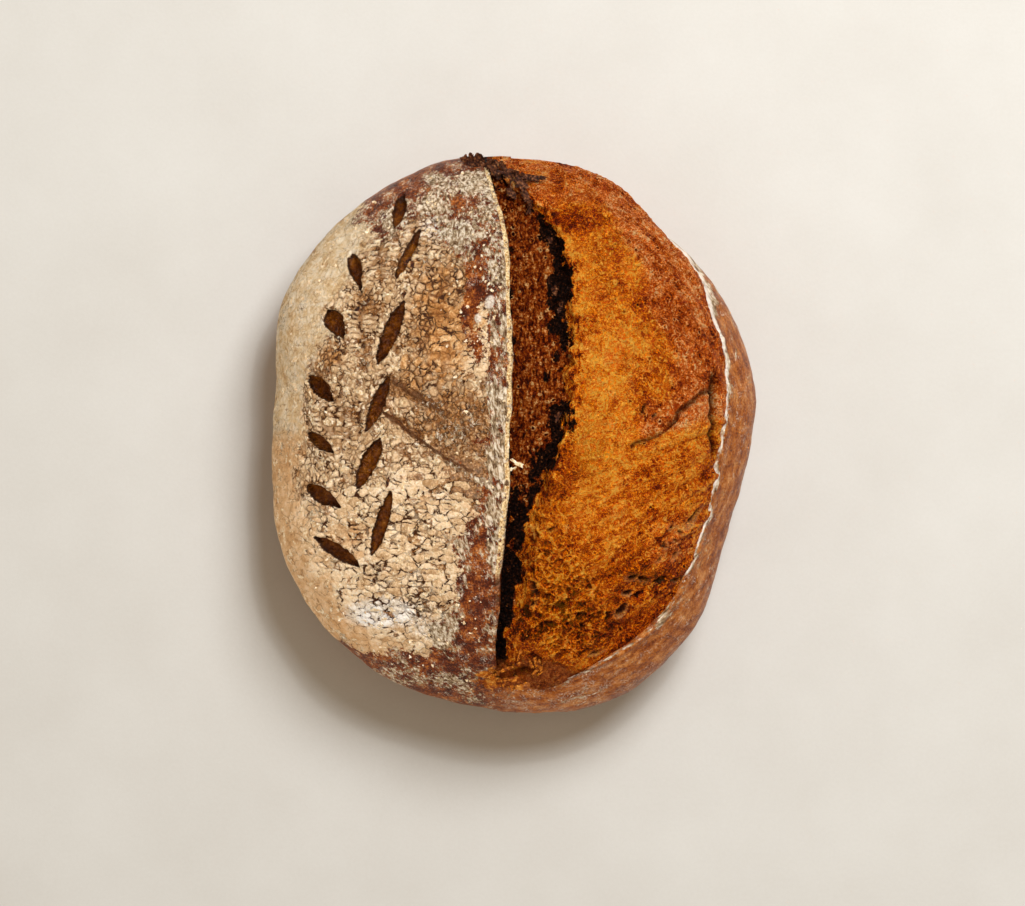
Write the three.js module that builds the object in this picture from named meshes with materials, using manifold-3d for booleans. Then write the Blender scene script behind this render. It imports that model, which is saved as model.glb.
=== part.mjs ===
import * as THREE from "three";
import { LoftGeometry } from "three/addons/geometries/LoftGeometry.js";
import Module from "manifold-3d";

// A hearth-baked sourdough loaf in millimetres: +Z is up, the base rests on z = 0, and the long
// axis runs along Y. One deep cut along the top tore open in the oven. Its left lip curled up
// into the ear, and new crust, the bloom, swelled out of the tear to the right. The skin left of
// the ear carries a sprig of leaf-shaped slashes.

// Driving dimensions.
const DOME_HEIGHT = 90; // top of the skin, before the ear rises from it
const BLOOM_HEIGHT = 88;
const WIDEST_HEIGHT = 33; // where the flank bulges out furthest
const DOME_POWER = 2.1; // power of the distance from the middle in the dome's profile
const DOME_ROUNDNESS = 0.62; // below 1 makes steeper shoulders
const BASE_SHARE = 0.83; // the flat base's outline over the widest outline
const EAR_THICKNESS = 2.6;
const EAR_UNDERCUT = 7; // how far the lip overhangs the torn wall
const EAR_FOLD_DEPTH = 10; // from the lip's tip down to where it leaves the wall
const EAR_FADE = 32; // how far the lip's rise reaches into the skin
const SKIN_SINK = 16; // the skin's drop under the bloom, which covers it
const BLOOM_ROOT = 14; // how deep the bloom reaches into the skin
const LEDGE = 3; // width of the burnt ledge between the torn strip and the bloom
const SLASH_DEPTH = 2.2;

// Plan radii from the middle, anticlockwise from -Y, and how far apart they are in degrees.
const RADIUS_STEP = 20;
const SKIN_RADII = [
  122, 124, 118.4, 104.7, 103.8, 108.7, 110.4, 108.5, 116, 121.8, 123.5, 121.9, 117.9, 107.8,
  108.7, 114.4, 121, 119.5,
];
const BLOOM_RADII = [104.5, 107, 104, 94.5, 91.5, 96, 102.6, 111.5, 121, 122.2];
const BLOOM_RIM_HEIGHTS = [50, 50, 51, 53, 54, 54, 52, 48, 43, 42];

// Lines along the tear, as values every 30 mm from y = +120 to y = -120.
const ROW_START = 120;
const ROW_STEP = 30;
const EAR_X = [-11, -2.5, -0.2, -0.2, -0.5, -1.8, -5, -6.4, -6];
const EAR_LIFT = [2, 8, 8.5, 8, 7, 6, 5, 3, 0];
const STRIP_WIDTH = [3, 20, 24, 25, 21.5, 11, 9.5, 4.5, 2];
const STRIP_DEPTH = [1, 4, 5, 5, 6, 8, 8, 5, 1];
const TEAR_TOP = 120;
const TEAR_BOTTOM = -104;

// A tongue of crust on the bloom, folded over along the line between these two points.
const FOLD_START = [56, -6];
const FOLD_END = [84, 17];
const FOLD_HEIGHT = 2.5;
const FOLD_REACH = 26;
const FOLD_FADE = 12;

// Leaf slashes, from the tip of the sprig down: centre, length, width, and turn from +X.
const OUTER_SLASHES = [
  { x: -49, y: 97, length: 16.5, width: 5.2, turn: 78 },
  { x: -67, y: 70, length: 18.5, width: 5, turn: 106 },
  { x: -75.5, y: 47.5, length: 15, width: 7, turn: 121 },
  { x: -82, y: 19.7, length: 15.7, width: 6.4, turn: 133 },
  { x: -82.5, y: -3.6, length: 15, width: 5, turn: 143 },
  { x: -81.5, y: -27, length: 17.5, width: 6.2, turn: 148 },
  { x: -75.5, y: -51, length: 24, width: 5.8, turn: 147 },
];
const INNER_SLASHES = [
  { x: -44.4, y: 78.3, length: 25.5, width: 4.2, turn: 65 },
  { x: -52, y: 44, length: 30, width: 6, turn: 67 },
  { x: -57.7, y: 13, length: 26.5, width: 5.6, turn: 67 },
  { x: -61.6, y: -12.9, length: 25, width: 6.6, turn: 64 },
  { x: -56, y: -38.5, length: 30, width: 5.4, turn: 73 },
];

// How finely the surfaces are cut into facets.
const SKIN_STATIONS = 56;
const BLOOM_STATIONS = 46;
const END_ANGLE = 0.06; // radians short of each end, where a small cap closes the loft
const SLASH_SEGMENTS = 6;

const degrees = THREE.MathUtils.degToRad;
const clamp = THREE.MathUtils.clamp;
const mix = THREE.MathUtils.lerp;
const ease = (value) => THREE.MathUtils.smoothstep(value, 0, 1);

// Catmull-Rom through evenly spaced values, at a place counted in steps.
function through(values, place, closed = false) {
  const count = values.length;
  const at = (i) => (closed ? values[(i + count) % count] : values[clamp(i, 0, count - 1)]);
  const i = closed ? Math.floor(place) : clamp(Math.floor(place), 0, count - 2);
  const f = clamp(place - i, 0, 1);
  const [a, b, c, d] = [at(i - 1), at(i), at(i + 1), at(i + 2)];
  return b + 0.5 * f * (c - a + f * (2 * a - 5 * b + 4 * c - d + f * (3 * (b - c) + d - a)));
}

const along = (values, y) => through(values, (ROW_START - y) / ROW_STEP);
const earX = (y) => along(EAR_X, y);
const stripEnd = (y) => earX(y) + along(STRIP_WIDTH, y);
// 1 along the tear, fading to 0 at its two ends.
const tornShare = (y) => ease((y - TEAR_BOTTOM) / 9) * ease((TEAR_TOP - y) / 6);

// Degrees anticlockwise from -Y, from 0 up to 360.
const turnOf = (x, y) => (THREE.MathUtils.radToDeg(Math.atan2(y, x)) + 450) % 360;
const skinRadius = (turn) => through(SKIN_RADII, turn / RADIUS_STEP, true);
// The bloom's tables cover the right half. Left of it, they hold their end values.
const bloomPlace = (turn) => (turn > 270 ? 0 : Math.min(turn, 180)) / RADIUS_STEP;
const bloomRadius = (turn) => through(BLOOM_RADII, bloomPlace(turn));

// The x at which an outline crosses y, on its right (+1) or left (-1) side.
function crossing(radius, y, side) {
  const sideRadius = (turn) => radius(side > 0 ? turn : 360 - turn);
  let [low, high] = [0, 180];
  for (let i = 0; i < 40; i++) {
    const middle = (low + high) / 2;
    if (-sideRadius(middle) * Math.cos(degrees(middle)) < y) low = middle;
    else high = middle;
  }
  return side * sideRadius(low) * Math.sin(degrees(low));
}

const domeShare = (share) => (1 - Math.min(share, 1) ** DOME_POWER) ** DOME_ROUNDNESS;
const skinShare = (x, y) => Math.hypot(x, y) / skinRadius(turnOf(x, y));

// Height of the plain dome.
const domeTop = (x, y) => mix(WIDEST_HEIGHT, DOME_HEIGHT, domeShare(skinShare(x, y)));

// Height of the floured skin, which rises towards the ear.
function skinTop(x, y) {
  const behindEar = Math.max(earX(y) - x, 0);
  return domeTop(x, y) + along(EAR_LIFT, y) * (1 - ease(behindEar / EAR_FADE));
}

// Height of the flank under its widest line, down to the flat base.
function skinUnder(x, y) {
  const inward = clamp((1 - skinShare(x, y)) / (1 - BASE_SHARE), 0, 1);
  return WIDEST_HEIGHT * (1 - Math.sqrt(1 - (1 - inward) ** 2));
}

// How far the folded tongue lifts the bloom.
function foldLift(x, y) {
  const [dx, dy] = [FOLD_END[0] - FOLD_START[0], FOLD_END[1] - FOLD_START[1]];
  const length = Math.hypot(dx, dy);
  const alongFold = ((x - FOLD_START[0]) * dx + (y - FOLD_START[1]) * dy) / length;
  const below = ((x - FOLD_START[0]) * dy - (y - FOLD_START[1]) * dx) / length;
  const ends = ease(alongFold / FOLD_FADE + 0.5) * ease((length - alongFold) / FOLD_FADE + 0.5);
  return FOLD_HEIGHT * ends * ease(below / LEDGE + 0.5) * (1 - ease(below / FOLD_REACH));
}

// Height of the bloom: it drops to the torn strip on its left and under the skin at its rim.
function bloomTop(x, y) {
  const turn = turnOf(x, y);
  const rim = through(BLOOM_RIM_HEIGHTS, bloomPlace(turn));
  const share = domeShare(Math.hypot(x, y) / bloomRadius(turn));
  const drop = along(STRIP_DEPTH, y) * (1 - ease((x - stripEnd(y)) / LEDGE));
  return mix(rim, BLOOM_HEIGHT, share) + foldLift(x, y) - drop * tornShare(y);
}

// Shares from just above 0 up to 1, and ways to space them.
const shares = (count) => Array.from({ length: count }, (_, i) => (i + 1) / count);
const slowStart = (share) => 1 - Math.cos((share * Math.PI) / 2);
const slowEnd = (share) => Math.sin((share * Math.PI) / 2);

// One closed slice of the skin at y, from the middle of the base round by the left.
function skinSlice(y) {
  const points = [];
  const put = (x, z) => points.push(new THREE.Vector3(x, y, z));
  const left = crossing(skinRadius, y, -1);
  const right = crossing(skinRadius, y, 1);
  const middle = (left + right) / 2;
  const baseY = y / BASE_SHARE;
  const baseEdge = (side) =>
    Math.abs(baseY) < ROW_START
      ? BASE_SHARE * crossing(skinRadius, baseY, side)
      : mix(middle, side > 0 ? right : left, 0.08);
  const [baseLeft, baseRight] = [baseEdge(-1), baseEdge(1)];
  const torn = tornShare(y);
  // At the ends of the loaf, where the slice is short, the lines stay inside it and in order.
  const ear = clamp(earX(y), mix(left, right, 0.25), mix(left, right, 0.55));
  const rimLine = crossing(bloomRadius, Math.max(y, TEAR_BOTTOM), 1) - 1;
  const rim = clamp(rimLine, mix(ear, right, 0.4), mix(ear, right, 0.9));
  const step = (rim - ear) / 30;
  const tip = skinTop(ear, y);

  put(middle, skinUnder(middle, y));
  put(mix(middle, baseLeft, 0.5), skinUnder(mix(middle, baseLeft, 0.5), y));
  put(baseLeft, skinUnder(baseLeft, y));
  for (const share of shares(5)) {
    const x = mix(baseLeft, left, slowEnd(share));
    put(x, skinUnder(x, y));
  }
  for (const share of shares(13)) {
    const x = mix(left, ear, slowStart(share));
    put(x, skinTop(x, y));
  }
  // The lip's edge, its underside, and the fold where it leaves the torn wall.
  const lip = (plainX, tornX, drop) => {
    put(mix(plainX, tornX, torn), mix(domeTop(plainX, y), tip - drop, torn));
  };
  lip(ear + 0.5 * step, ear + 0.2, EAR_THICKNESS * 0.6);
  lip(ear + step, ear - 1.2, EAR_THICKNESS);
  lip(ear + 2 * step, ear - EAR_UNDERCUT, EAR_FOLD_DEPTH);
  // The floor that the bloom covers, then the skin from the bloom's rim out to the right.
  const floorStart = mix(ear + 2 * step, ear - EAR_UNDERCUT, torn);
  for (const share of shares(4)) {
    const x = mix(floorStart, rim - 2 * step, share);
    put(x, domeTop(x, y) - mix(SKIN_SINK, SKIN_SINK / 2, share) * torn);
  }
  for (const share of [0, ...shares(6)]) {
    const x = mix(rim, right, slowEnd(share));
    put(x, domeTop(x, y));
  }
  for (const share of shares(5)) {
    const x = mix(right, baseRight, slowStart(share));
    put(x, skinUnder(x, y));
  }
  put(mix(middle, baseRight, 0.5), skinUnder(mix(middle, baseRight, 0.5), y));
  return points;
}

// One closed slice of the bloom at y: the torn strip, the dome to its rim, and a hidden root.
function bloomSlice(y) {
  const points = [];
  const put = (x, z) => points.push(new THREE.Vector3(x, y, z));
  const torn = tornShare(y);
  const stripRight = stripEnd(y);
  const right = Math.max(crossing(bloomRadius, y, 1), stripRight + 2 * LEDGE);
  const stripLeft = earX(y) - mix(4, EAR_UNDERCUT + 2, torn);
  const stripTop = skinTop(earX(y), y) - mix(2.2, EAR_FOLD_DEPTH - 0.4, torn);
  const stripBottom = bloomTop(stripRight, y);
  const ledgeTop = bloomTop(stripRight + LEDGE, y);
  const rimHeight = bloomTop(right, y);
  const root = Math.min(rimHeight, stripBottom, stripTop) - mix(3, BLOOM_ROOT, torn);

  put(stripLeft, root);
  for (const share of [0, ...shares(4)]) {
    put(mix(stripLeft, stripRight, share), mix(stripTop, stripBottom, share));
  }
  put(stripRight + 0.4 * LEDGE, mix(stripBottom, ledgeTop, 0.5));
  put(stripRight + LEDGE, ledgeTop);
  for (const share of shares(12)) {
    const x = mix(stripRight + LEDGE, right, slowEnd(share));
    put(x, bloomTop(x, y));
  }
  put(mix(right, stripRight, 0.06), mix(rimHeight, root, 0.5));
  put(mix(right, stripRight, 0.3), root);
  return points;
}

// A loft through slices from one y to another, closer together near the ends.
function lofted(slice, count, from, to) {
  const slices = Array.from({ length: count }, (_, i) => {
    const angle = mix(END_ANGLE, Math.PI - END_ANGLE, i / (count - 1));
    return slice(mix(from, to, (1 - Math.cos(angle)) / 2));
  });
  return new LoftGeometry(slices, { capStart: true, capEnd: true });
}

// The cutter of one slash: a leaf in plan, half as wide at the slash's floor as at the skin.
function slashGeometry({ x, y, length, width, turn }) {
  const leaf = new THREE.Shape();
  leaf.moveTo(-length / 2, 0);
  leaf.quadraticCurveTo(0, -width, length / 2, 0);
  leaf.quadraticCurveTo(0, width, -length / 2, 0);
  const blade = new THREE.ExtrudeGeometry(leaf, {
    depth: 2 * SLASH_DEPTH,
    bevelEnabled: false,
    curveSegments: SLASH_SEGMENTS,
  });
  blade.translate(0, 0, -SLASH_DEPTH);
  const corners = blade.attributes.position;
  for (let i = 0; i < corners.count; i++) {
    const spread = 1 + (0.5 * corners.getZ(i)) / SLASH_DEPTH;
    corners.setXY(i, corners.getX(i) * mix(1, spread, 0.4), corners.getY(i) * spread);
  }
  const slopeX = (skinTop(x + 1, y) - skinTop(x - 1, y)) / 2;
  const slopeY = (skinTop(x, y + 1) - skinTop(x, y - 1)) / 2;
  const normal = new THREE.Vector3(-slopeX, -slopeY, 1).normalize();
  blade.rotateZ(degrees(turn));
  blade.applyQuaternion(new THREE.Quaternion().setFromUnitVectors(new THREE.Vector3(0, 0, 1), normal));
  return blade.translate(x, y, skinTop(x, y));
}

const wasm = await Module();
wasm.setup();

// A closed geometry as a solid that can be joined and cut.
function solid(geometry) {
  const { position } = geometry.attributes;
  const corners = geometry.index?.array ?? Uint32Array.from({ length: position.count }, (_, i) => i);
  const mesh = new wasm.Mesh({
    numProp: 3,
    vertProperties: position.array,
    triVerts: new Uint32Array(corners),
  });
  mesh.merge();
  return new wasm.Manifold(mesh);
}

function geometryOf(made) {
  const { vertProperties, triVerts } = made.getMesh();
  const geometry = new THREE.BufferGeometry();
  geometry.setAttribute("position", new THREE.BufferAttribute(vertProperties, 3));
  geometry.setIndex(new THREE.BufferAttribute(triVerts, 1));
  geometry.computeVertexNormals();
  return geometry;
}

function loafGeometry() {
  const skin = solid(lofted(skinSlice, SKIN_STATIONS, -ROW_START - 2, ROW_START + 1.8));
  const bloom = solid(lofted(bloomSlice, BLOOM_STATIONS, TEAR_BOTTOM, TEAR_TOP + 2));
  // Only the outer shell is kept, so no pocket stays sealed between the skin and the bloom.
  let [loaf] = skin.add(bloom).decompose().sort((a, b) => b.volume() - a.volume());
  for (const slash of [...OUTER_SLASHES, ...INNER_SLASHES]) {
    loaf = loaf.subtract(solid(slashGeometry(slash)));
  }
  return geometryOf(loaf);
}

const crust = new THREE.MeshStandardMaterial({ color: "#b5762f", roughness: 0.75, metalness: 0 });
const loaf = new THREE.Mesh(loafGeometry(), crust);
loaf.name = "loaf";

const part = new THREE.Group();
part.add(loaf);

export default part;
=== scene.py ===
import math

import bpy
import numpy as np
from mathutils import Matrix, Vector, noise
from mathutils.bvhtree import BVHTree


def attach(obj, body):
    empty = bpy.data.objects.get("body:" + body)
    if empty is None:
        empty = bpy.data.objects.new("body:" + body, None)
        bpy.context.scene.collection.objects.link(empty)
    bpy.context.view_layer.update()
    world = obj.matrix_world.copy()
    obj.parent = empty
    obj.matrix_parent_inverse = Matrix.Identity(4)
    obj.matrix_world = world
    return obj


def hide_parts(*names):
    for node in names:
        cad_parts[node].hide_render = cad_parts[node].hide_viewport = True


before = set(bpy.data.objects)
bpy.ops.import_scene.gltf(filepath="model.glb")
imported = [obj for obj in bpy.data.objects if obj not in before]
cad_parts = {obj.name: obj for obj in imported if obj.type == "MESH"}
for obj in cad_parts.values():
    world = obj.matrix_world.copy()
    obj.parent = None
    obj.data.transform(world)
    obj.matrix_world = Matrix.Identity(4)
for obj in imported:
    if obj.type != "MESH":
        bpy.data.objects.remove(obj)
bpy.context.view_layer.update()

# The loaf is drawn in millimetres, +Y along its long axis. Its crust is two closed pieces: the
# floured skin with the ear, the flanks and the base, and the bloom that swelled out of the tear.
# Each starts as a sphere whose rings become slices across the loaf.
MM = 0.001

# Heights and profile of the dome, as the CAD solid has them.
DOME_HEIGHT = 90
BLOOM_HEIGHT = 88
WIDEST_HEIGHT = 33
DOME_POWER = 2.1
DOME_ROUNDNESS = 0.62
BASE_SHARE = 0.83
TOP_END = 121.8
BOTTOM_END = -122.0

# Plan radii every 20 degrees, anticlockwise from -Y.
SKIN_RADII = [
    122, 125.4, 118.6, 106.4, 104, 109, 110.8, 111.4, 115.6, 121.2, 123.3, 120.2, 116.2, 105.4,
    106.8, 114, 118.5, 120.2,
]
BLOOM_RADII = [112.5, 107.5, 104, 95.4, 91.7, 96.3, 102.6, 109.9, 119.8, 121.2]
BLOOM_RIM_HEIGHTS = [50, 50, 51, 53, 54, 54, 52, 48, 43, 42]

# Lines along the tear, every 30 mm from y = +120 to y = -120.
EAR_X = [-11, -2.5, -0.2, -0.2, -0.5, -1.8, -5, -6.4, -6]
EAR_LIFT = [2, 8, 8.5, 8, 7, 6, 5, 3, 0]
STRIP_WIDTH = [3, 20, 24, 25, 21.5, 11, 9.5, 4.5, 2]
STRIP_DEPTH = [1, 4, 5, 5, 6, 8, 8, 5, 1]
TEAR_TOP = 120
TEAR_BOTTOM = -110
EAR_THICKNESS = 2.6
EAR_UNDERCUT = 7
EAR_FOLD_DEPTH = 10
EAR_FADE = 32
SKIN_SINK = 16
BLOOM_ROOT = 14
LEDGE = 3

# The folded tongue on the bloom stands proud along this line.
FOLD_START = (56, -6)
FOLD_END = (84, 17)
FOLD_HEIGHT = 2.5
FOLD_REACH = 26

# Leaf slashes: centre x and y, length, width, turn from +X, and how much fatter the far end is.
SLASHES = [
    (-49, 97, 16.5, 5.6, 78, 0.3),
    (-67, 70, 19, 5.6, 106, 0.75),
    (-75.5, 47.5, 15.5, 8.2, 121, 0.5),
    (-82, 19.7, 16, 7.2, 133, 0.3),
    (-82.5, -3.6, 15.5, 5.6, 143, 0.2),
    (-81.5, -27, 18, 7, 148, 0.35),
    (-75.5, -51, 24.5, 6, 147, 0),
    (-44.4, 78.3, 26, 4.6, 65, -0.1),
    (-52, 44, 31, 7.2, 67, 0),
    (-57.7, 13, 27, 6.2, 67, 0),
    (-61.6, -12.9, 25.5, 7.6, 64, 0.15),
    (-56, -38.5, 30, 6, 73, -0.15),
]
SLASH_DEPTH = 2.8

# Burst holes in the bloom: centre x and y, length, width, turn from +X, and how pale the rim is.
HOLES = [
    (57.6, 11, 4.4, 1.7, 60, 0.1), (79, -35.6, 8, 2.0, 52, 0.8), (17, -41, 3.4, 1.8, 20, 0.1),
    (9.7, -64.5, 3.4, 2.2, 80, 0.2), (9.7, -72.5, 3.2, 2.0, 70, 0.2), (47.8, -76.5, 5.4, 3.0, 45, 0.9),
    (50.5, -68.8, 2.8, 1.9, 20, 0.9), (59.5, -86.8, 4.6, 1.3, 35, 0.4), (37, -95, 4.6, 1.4, 20, 0.8),
    (52.5, -61.5, 4.4, 2.0, 10, 0.3), (57.5, -62.5, 4.2, 2.2, -12, 0.3), (63, -63.6, 3.0, 1.7, 8, 0.2),
    (72.5, -63, 3.2, 1.8, 10, 0.4), (77, -64.5, 2.8, 2.0, 0, 0.4), (69.5, -40, 1.8, 1.1, 40, 0.7),
    (73.5, -42.5, 2.0, 1.2, 0, 0.6), (71.2, -46, 1.6, 1.1, 0, 0.7), (66.5, -47.5, 2.2, 1.0, 70, 0.6),
    (71.5, -52, 2.6, 0.9, 60, 0.7), (64, -54, 2.0, 0.9, 50, 0.5), (62, 8, 2.2, 1.2, 30, 0.2),
]
HOLE_DEPTH = 1.6

# Flakes: x, y, lift off the crust, length, width, thickness, turn from +X, and tilt up.
BURNT_FLAKES = [
    (-20, 119.8, 1.0, 7, 3.4, 1.0, 115, 24), (-17.2, 120.8, 1.8, 7, 2.8, 0.9, 96, 32),
    (-15.4, 118.2, 1.6, 8, 4.6, 1.1, 70, 20), (-12.8, 120.2, 2.4, 7, 3.0, 0.9, 82, 32),
    (-10.4, 118, 2.0, 7.5, 4.2, 1.0, 45, 24), (-8.8, 118.4, 2.6, 6, 2.4, 0.8, 76, 40),
    (-6.4, 116.8, 2.2, 7.5, 4.4, 1.0, 30, 22), (-3.2, 116.2, 2.6, 6.5, 3.0, 0.9, 80, 36),
    (-1.6, 113.8, 1.8, 8, 4.6, 1.0, -25, 18), (0.8, 113.6, 2.6, 5.5, 2.6, 0.9, 76, 42),
    (3.2, 112, 2.4, 6.5, 3.0, 0.9, 48, 30), (6.2, 111.5, 3.0, 8.5, 3.8, 0.9, 0, 8),
    (11, 111.3, 3.2, 9, 2.4, 0.9, 3, 6), (4.0, 108.4, 1.4, 9.5, 5.2, 1.1, -60, 16),
    (0.8, 105.2, 0.7, 8, 4.0, 1.0, -80, 18), (6.6, 103.2, 0.9, 7.5, 3.4, 0.9, -72, 20),
    (-5, 112.4, 0.9, 7, 4.2, 1.0, -40, 16), (8.2, 98.4, 0.5, 6, 2.8, 0.9, 82, 20),
    (-44, 75.5, 0.3, 3.4, 2.0, 0.9, 30, 10), (-42.4, 73.2, 0.3, 2.6, 1.8, 0.8, 80, 10),
    (-45.6, 73.6, 0.3, 2.6, 1.6, 0.8, 140, 10), (-46, 60.5, 0.4, 3.4, 1.8, 0.9, 80, 15),
    (-66.5, 54, 0.3, 3.4, 2.0, 0.8, 120, 10), (-53, -21, 0.4, 5, 1.6, 0.9, 66, 15),
    (19, 62, 0.4, 5, 2.6, 0.9, 100, 25), (21.5, 55, 0.4, 4.4, 2.2, 0.8, 70, 25),
    (17, 84, 0.4, 5, 2.4, 0.8, 110, 25), (20.5, 8, 0.4, 5, 2.6, 0.9, 60, 25),
]
TORN_CRUMBS = [
    (10.6, -98.4, 0.9, 6, 1.6, 0.9, 96, 30), (12, -99.6, 1.1, 6.5, 1.7, 0.9, 76, 34),
    (13.4, -100.8, 1.0, 6, 1.6, 0.9, 58, 32), (14.6, -102.4, 0.8, 5.5, 1.5, 0.9, 38, 28),
    (11, -102.6, 0.8, 5.5, 2.0, 0.9, 64, 24), (8.4, -99, 0.4, 5, 1.8, 0.9, 120, 24),
    (-6.4, -107.6, 0.5, 5, 2.6, 1.0, 8, 16), (-9.6, -108.6, 0.5, 5, 2.2, 0.9, 4, 14),
    (-12.4, -109, 0.4, 4, 1.8, 0.9, 10, 14), (-7.4, -105.4, 0.6, 3.6, 1.6, 0.9, 80, 26),
    (-2.6, -107.8, 0.5, 5, 2.0, 0.9, 66, 22), (0.6, -108.6, 0.4, 5, 2.0, 0.9, 84, 20),
    (-1.4, -101.8, 0.3, 6.5, 1.4, 0.8, 22, 14), (3.6, -99.6, 0.5, 6, 1.6, 0.8, 12, 12),
    (4.4, -93, 0.3, 7, 1.5, 0.9, 76, 20), (6.6, -88, 0.3, 7, 1.5, 0.9, 82, 20),
]
EAR_CHIPS = [
    (2.6, -12.4, -1.4, 7.5, 1.8, 0.9, -26, 6), (-1.2, -5.5, 0.1, 6.5, 1.1, 0.8, 86, 4),
    (0.4, -15, -1.6, 3, 1.2, 0.8, 20, 10),
]

# The crease at the folded tongue's root.
TONGUE_CREASE = [(52, -5), (57, -2.5), (62, -0.5), (66.5, 2.5), (72, 8), (77.5, 14), (82, 18), (87, 19)]

# Where the thick flour ends beside the tear's lower half: x at each -y.
FOOT_Y = [15, 20, 35, 48, 76, 90, 97, 104]
FOOT_X = [2, -7, -15, -22, -27, -33, -41, -60]

# Where the lines of the ridges below the folded tongue meet.
FAN_HUB = (171, 28)

# No burnt flake sits lower than this, and how many lumps of loose flour there are.
CREST_LOW = 44
LOOSE_LUMPS = 260

# The camera looks straight down from here, in metres.
EYE = (0.0007, -0.0081, 2.04)
LENS = 160

# Where rays that look for the crust start, and their direction.
ABOVE = 200
DOWN = Vector((0, 0, -1))

# How many rings each of the two pieces has.
SKIN_RINGS = 345
BLOOM_RINGS = 395


# ---------------------------------------------------------------- curves and surfaces of the loaf

def mix(start, end, share):
    return start + (end - start) * share


def ease(value):
    """A smooth step from 0 to 1 as value goes from 0 to 1."""
    t = np.clip(value, 0, 1)
    return t * t * (3 - 2 * t)


def through(values, place, closed=False):
    """Catmull-Rom through evenly spaced values, at places counted in steps."""
    values = np.asarray(values, float)
    place = np.asarray(place, float)
    count = len(values)
    step = np.floor(place).astype(int)
    if not closed:
        step = np.clip(step, 0, count - 2)
    part = np.clip(place - step, 0, 1)
    near = [step - 1, step, step + 1, step + 2]
    if closed:
        a, b, c, d = (values[i % count] for i in near)
    else:
        a, b, c, d = (values[np.clip(i, 0, count - 1)] for i in near)
    return b + 0.5 * part * (c - a + part * (2 * a - 5 * b + 4 * c - d + part * (3 * (b - c) + d - a)))


def along(values, y):
    return through(values, (120 - y) / 30)


def turn_of(x, y):
    """Degrees anticlockwise from -Y."""
    return (np.degrees(np.arctan2(y, x)) + 450) % 360


def skin_radius(turn):
    return through(SKIN_RADII, turn / 20, closed=True)


def bloom_place(turn):
    return np.where(turn > 270, 0, np.minimum(turn, 180)) / 20


def bloom_radius(turn):
    return through(BLOOM_RADII, bloom_place(turn))


def crossing(radius, y, side):
    """The x at which an outline crosses each y, on its right (+1) or left (-1) side."""
    low = np.zeros_like(y)
    high = np.full_like(y, 180.0)
    for _ in range(40):
        middle = (low + high) / 2
        reach = radius(middle if side > 0 else 360 - middle)
        below = -reach * np.cos(np.radians(middle)) < y
        low = np.where(below, middle, low)
        high = np.where(below, high, middle)
    reach = radius(low if side > 0 else 360 - low)
    return side * reach * np.sin(np.radians(low))


def dome_share(share):
    return (1 - np.minimum(share, 1) ** DOME_POWER) ** DOME_ROUNDNESS


def skin_share(x, y):
    return np.hypot(x, y) / skin_radius(turn_of(x, y))


def dome_top(x, y):
    return mix(WIDEST_HEIGHT, DOME_HEIGHT, dome_share(skin_share(x, y)))


def torn_share(y):
    return ease((y - TEAR_BOTTOM) / 9) * ease((TEAR_TOP - y) / 6)


def wander(y, size, seed):
    """Smooth unevenness along the loaf, about -1 to 1."""
    return np.array([noise.noise((v / size, seed, 0.5)) for v in np.ravel(y)]).reshape(np.shape(y)) * 1.6


def ear_x(y):
    return along(EAR_X, y) + 0.5 * wander(y, 14, 3.1) + 0.15 * wander(y, 4, 8.2)


def strip_end(y):
    ragged = 1.1 * wander(y, 9, 1.7) + 0.9 * wander(y, 3.2, 5.4)
    return along(EAR_X, y) + along(STRIP_WIDTH, y) + ragged * ease((along(STRIP_WIDTH, y) - 3) / 8)


def skin_top(x, y):
    """Height of the floured skin, which rises towards the ear."""
    behind_ear = np.maximum(along(EAR_X, y) - x, 0)
    return dome_top(x, y) + along(EAR_LIFT, y) * (1 - ease(behind_ear / EAR_FADE))


def skin_under(x, y):
    inward = np.clip((1 - skin_share(x, y)) / (1 - BASE_SHARE), 0, 1)
    return WIDEST_HEIGHT * (1 - np.sqrt(1 - (1 - inward) ** 2))


def fold_lift(x, y):
    dx, dy = FOLD_END[0] - FOLD_START[0], FOLD_END[1] - FOLD_START[1]
    length = math.hypot(dx, dy)
    along_fold = ((x - FOLD_START[0]) * dx + (y - FOLD_START[1]) * dy) / length
    below = ((x - FOLD_START[0]) * dy - (y - FOLD_START[1]) * dx) / length
    ends = ease(along_fold / 12 + 0.5) * ease((length - along_fold) / 12 + 0.5)
    return FOLD_HEIGHT * ends * ease(below / 3 + 0.5) * (1 - ease(below / FOLD_REACH))


def ledge(y):
    """How far the torn wall leans out: steep beside the wide strip, shallow below it."""
    return mix(LEDGE, 3 * LEDGE, ease((-8 - y) / 20))


def bloom_top(x, y):
    """Height of the bloom, which drops to the torn strip and dips under the skin at its rim."""
    turn = turn_of(x, y)
    rim = through(BLOOM_RIM_HEIGHTS, bloom_place(turn))
    share = dome_share(np.hypot(x, y) / bloom_radius(turn))
    drop = along(STRIP_DEPTH, y) * (1 - ease((x - strip_end(y)) / ledge(y)))
    whole = mix(rim, BLOOM_HEIGHT, share) + fold_lift(x, y)
    foot = ease((-88 - y) / 12) * ease((44 - x) / 22)
    return mix(whole, dome_top(x, y) - 0.6, foot) - drop * torn_share(y)


def ring_places(rings):
    """Y of each ring from the top end to the bottom one, evenly spaced along the dome's profile."""
    share = np.cos(np.linspace(0, math.pi, 4001))
    y = mix(BOTTOM_END, TOP_END, (share + 1) / 2)
    z = (DOME_HEIGHT - WIDEST_HEIGHT) * dome_share(np.abs(share))
    length = np.concatenate([[0], np.cumsum(np.hypot(np.diff(y), np.diff(z)))])
    wanted = np.linspace(0, length[-1], rings + 2)[1:-1]
    return np.interp(wanted, length, y)


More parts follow.
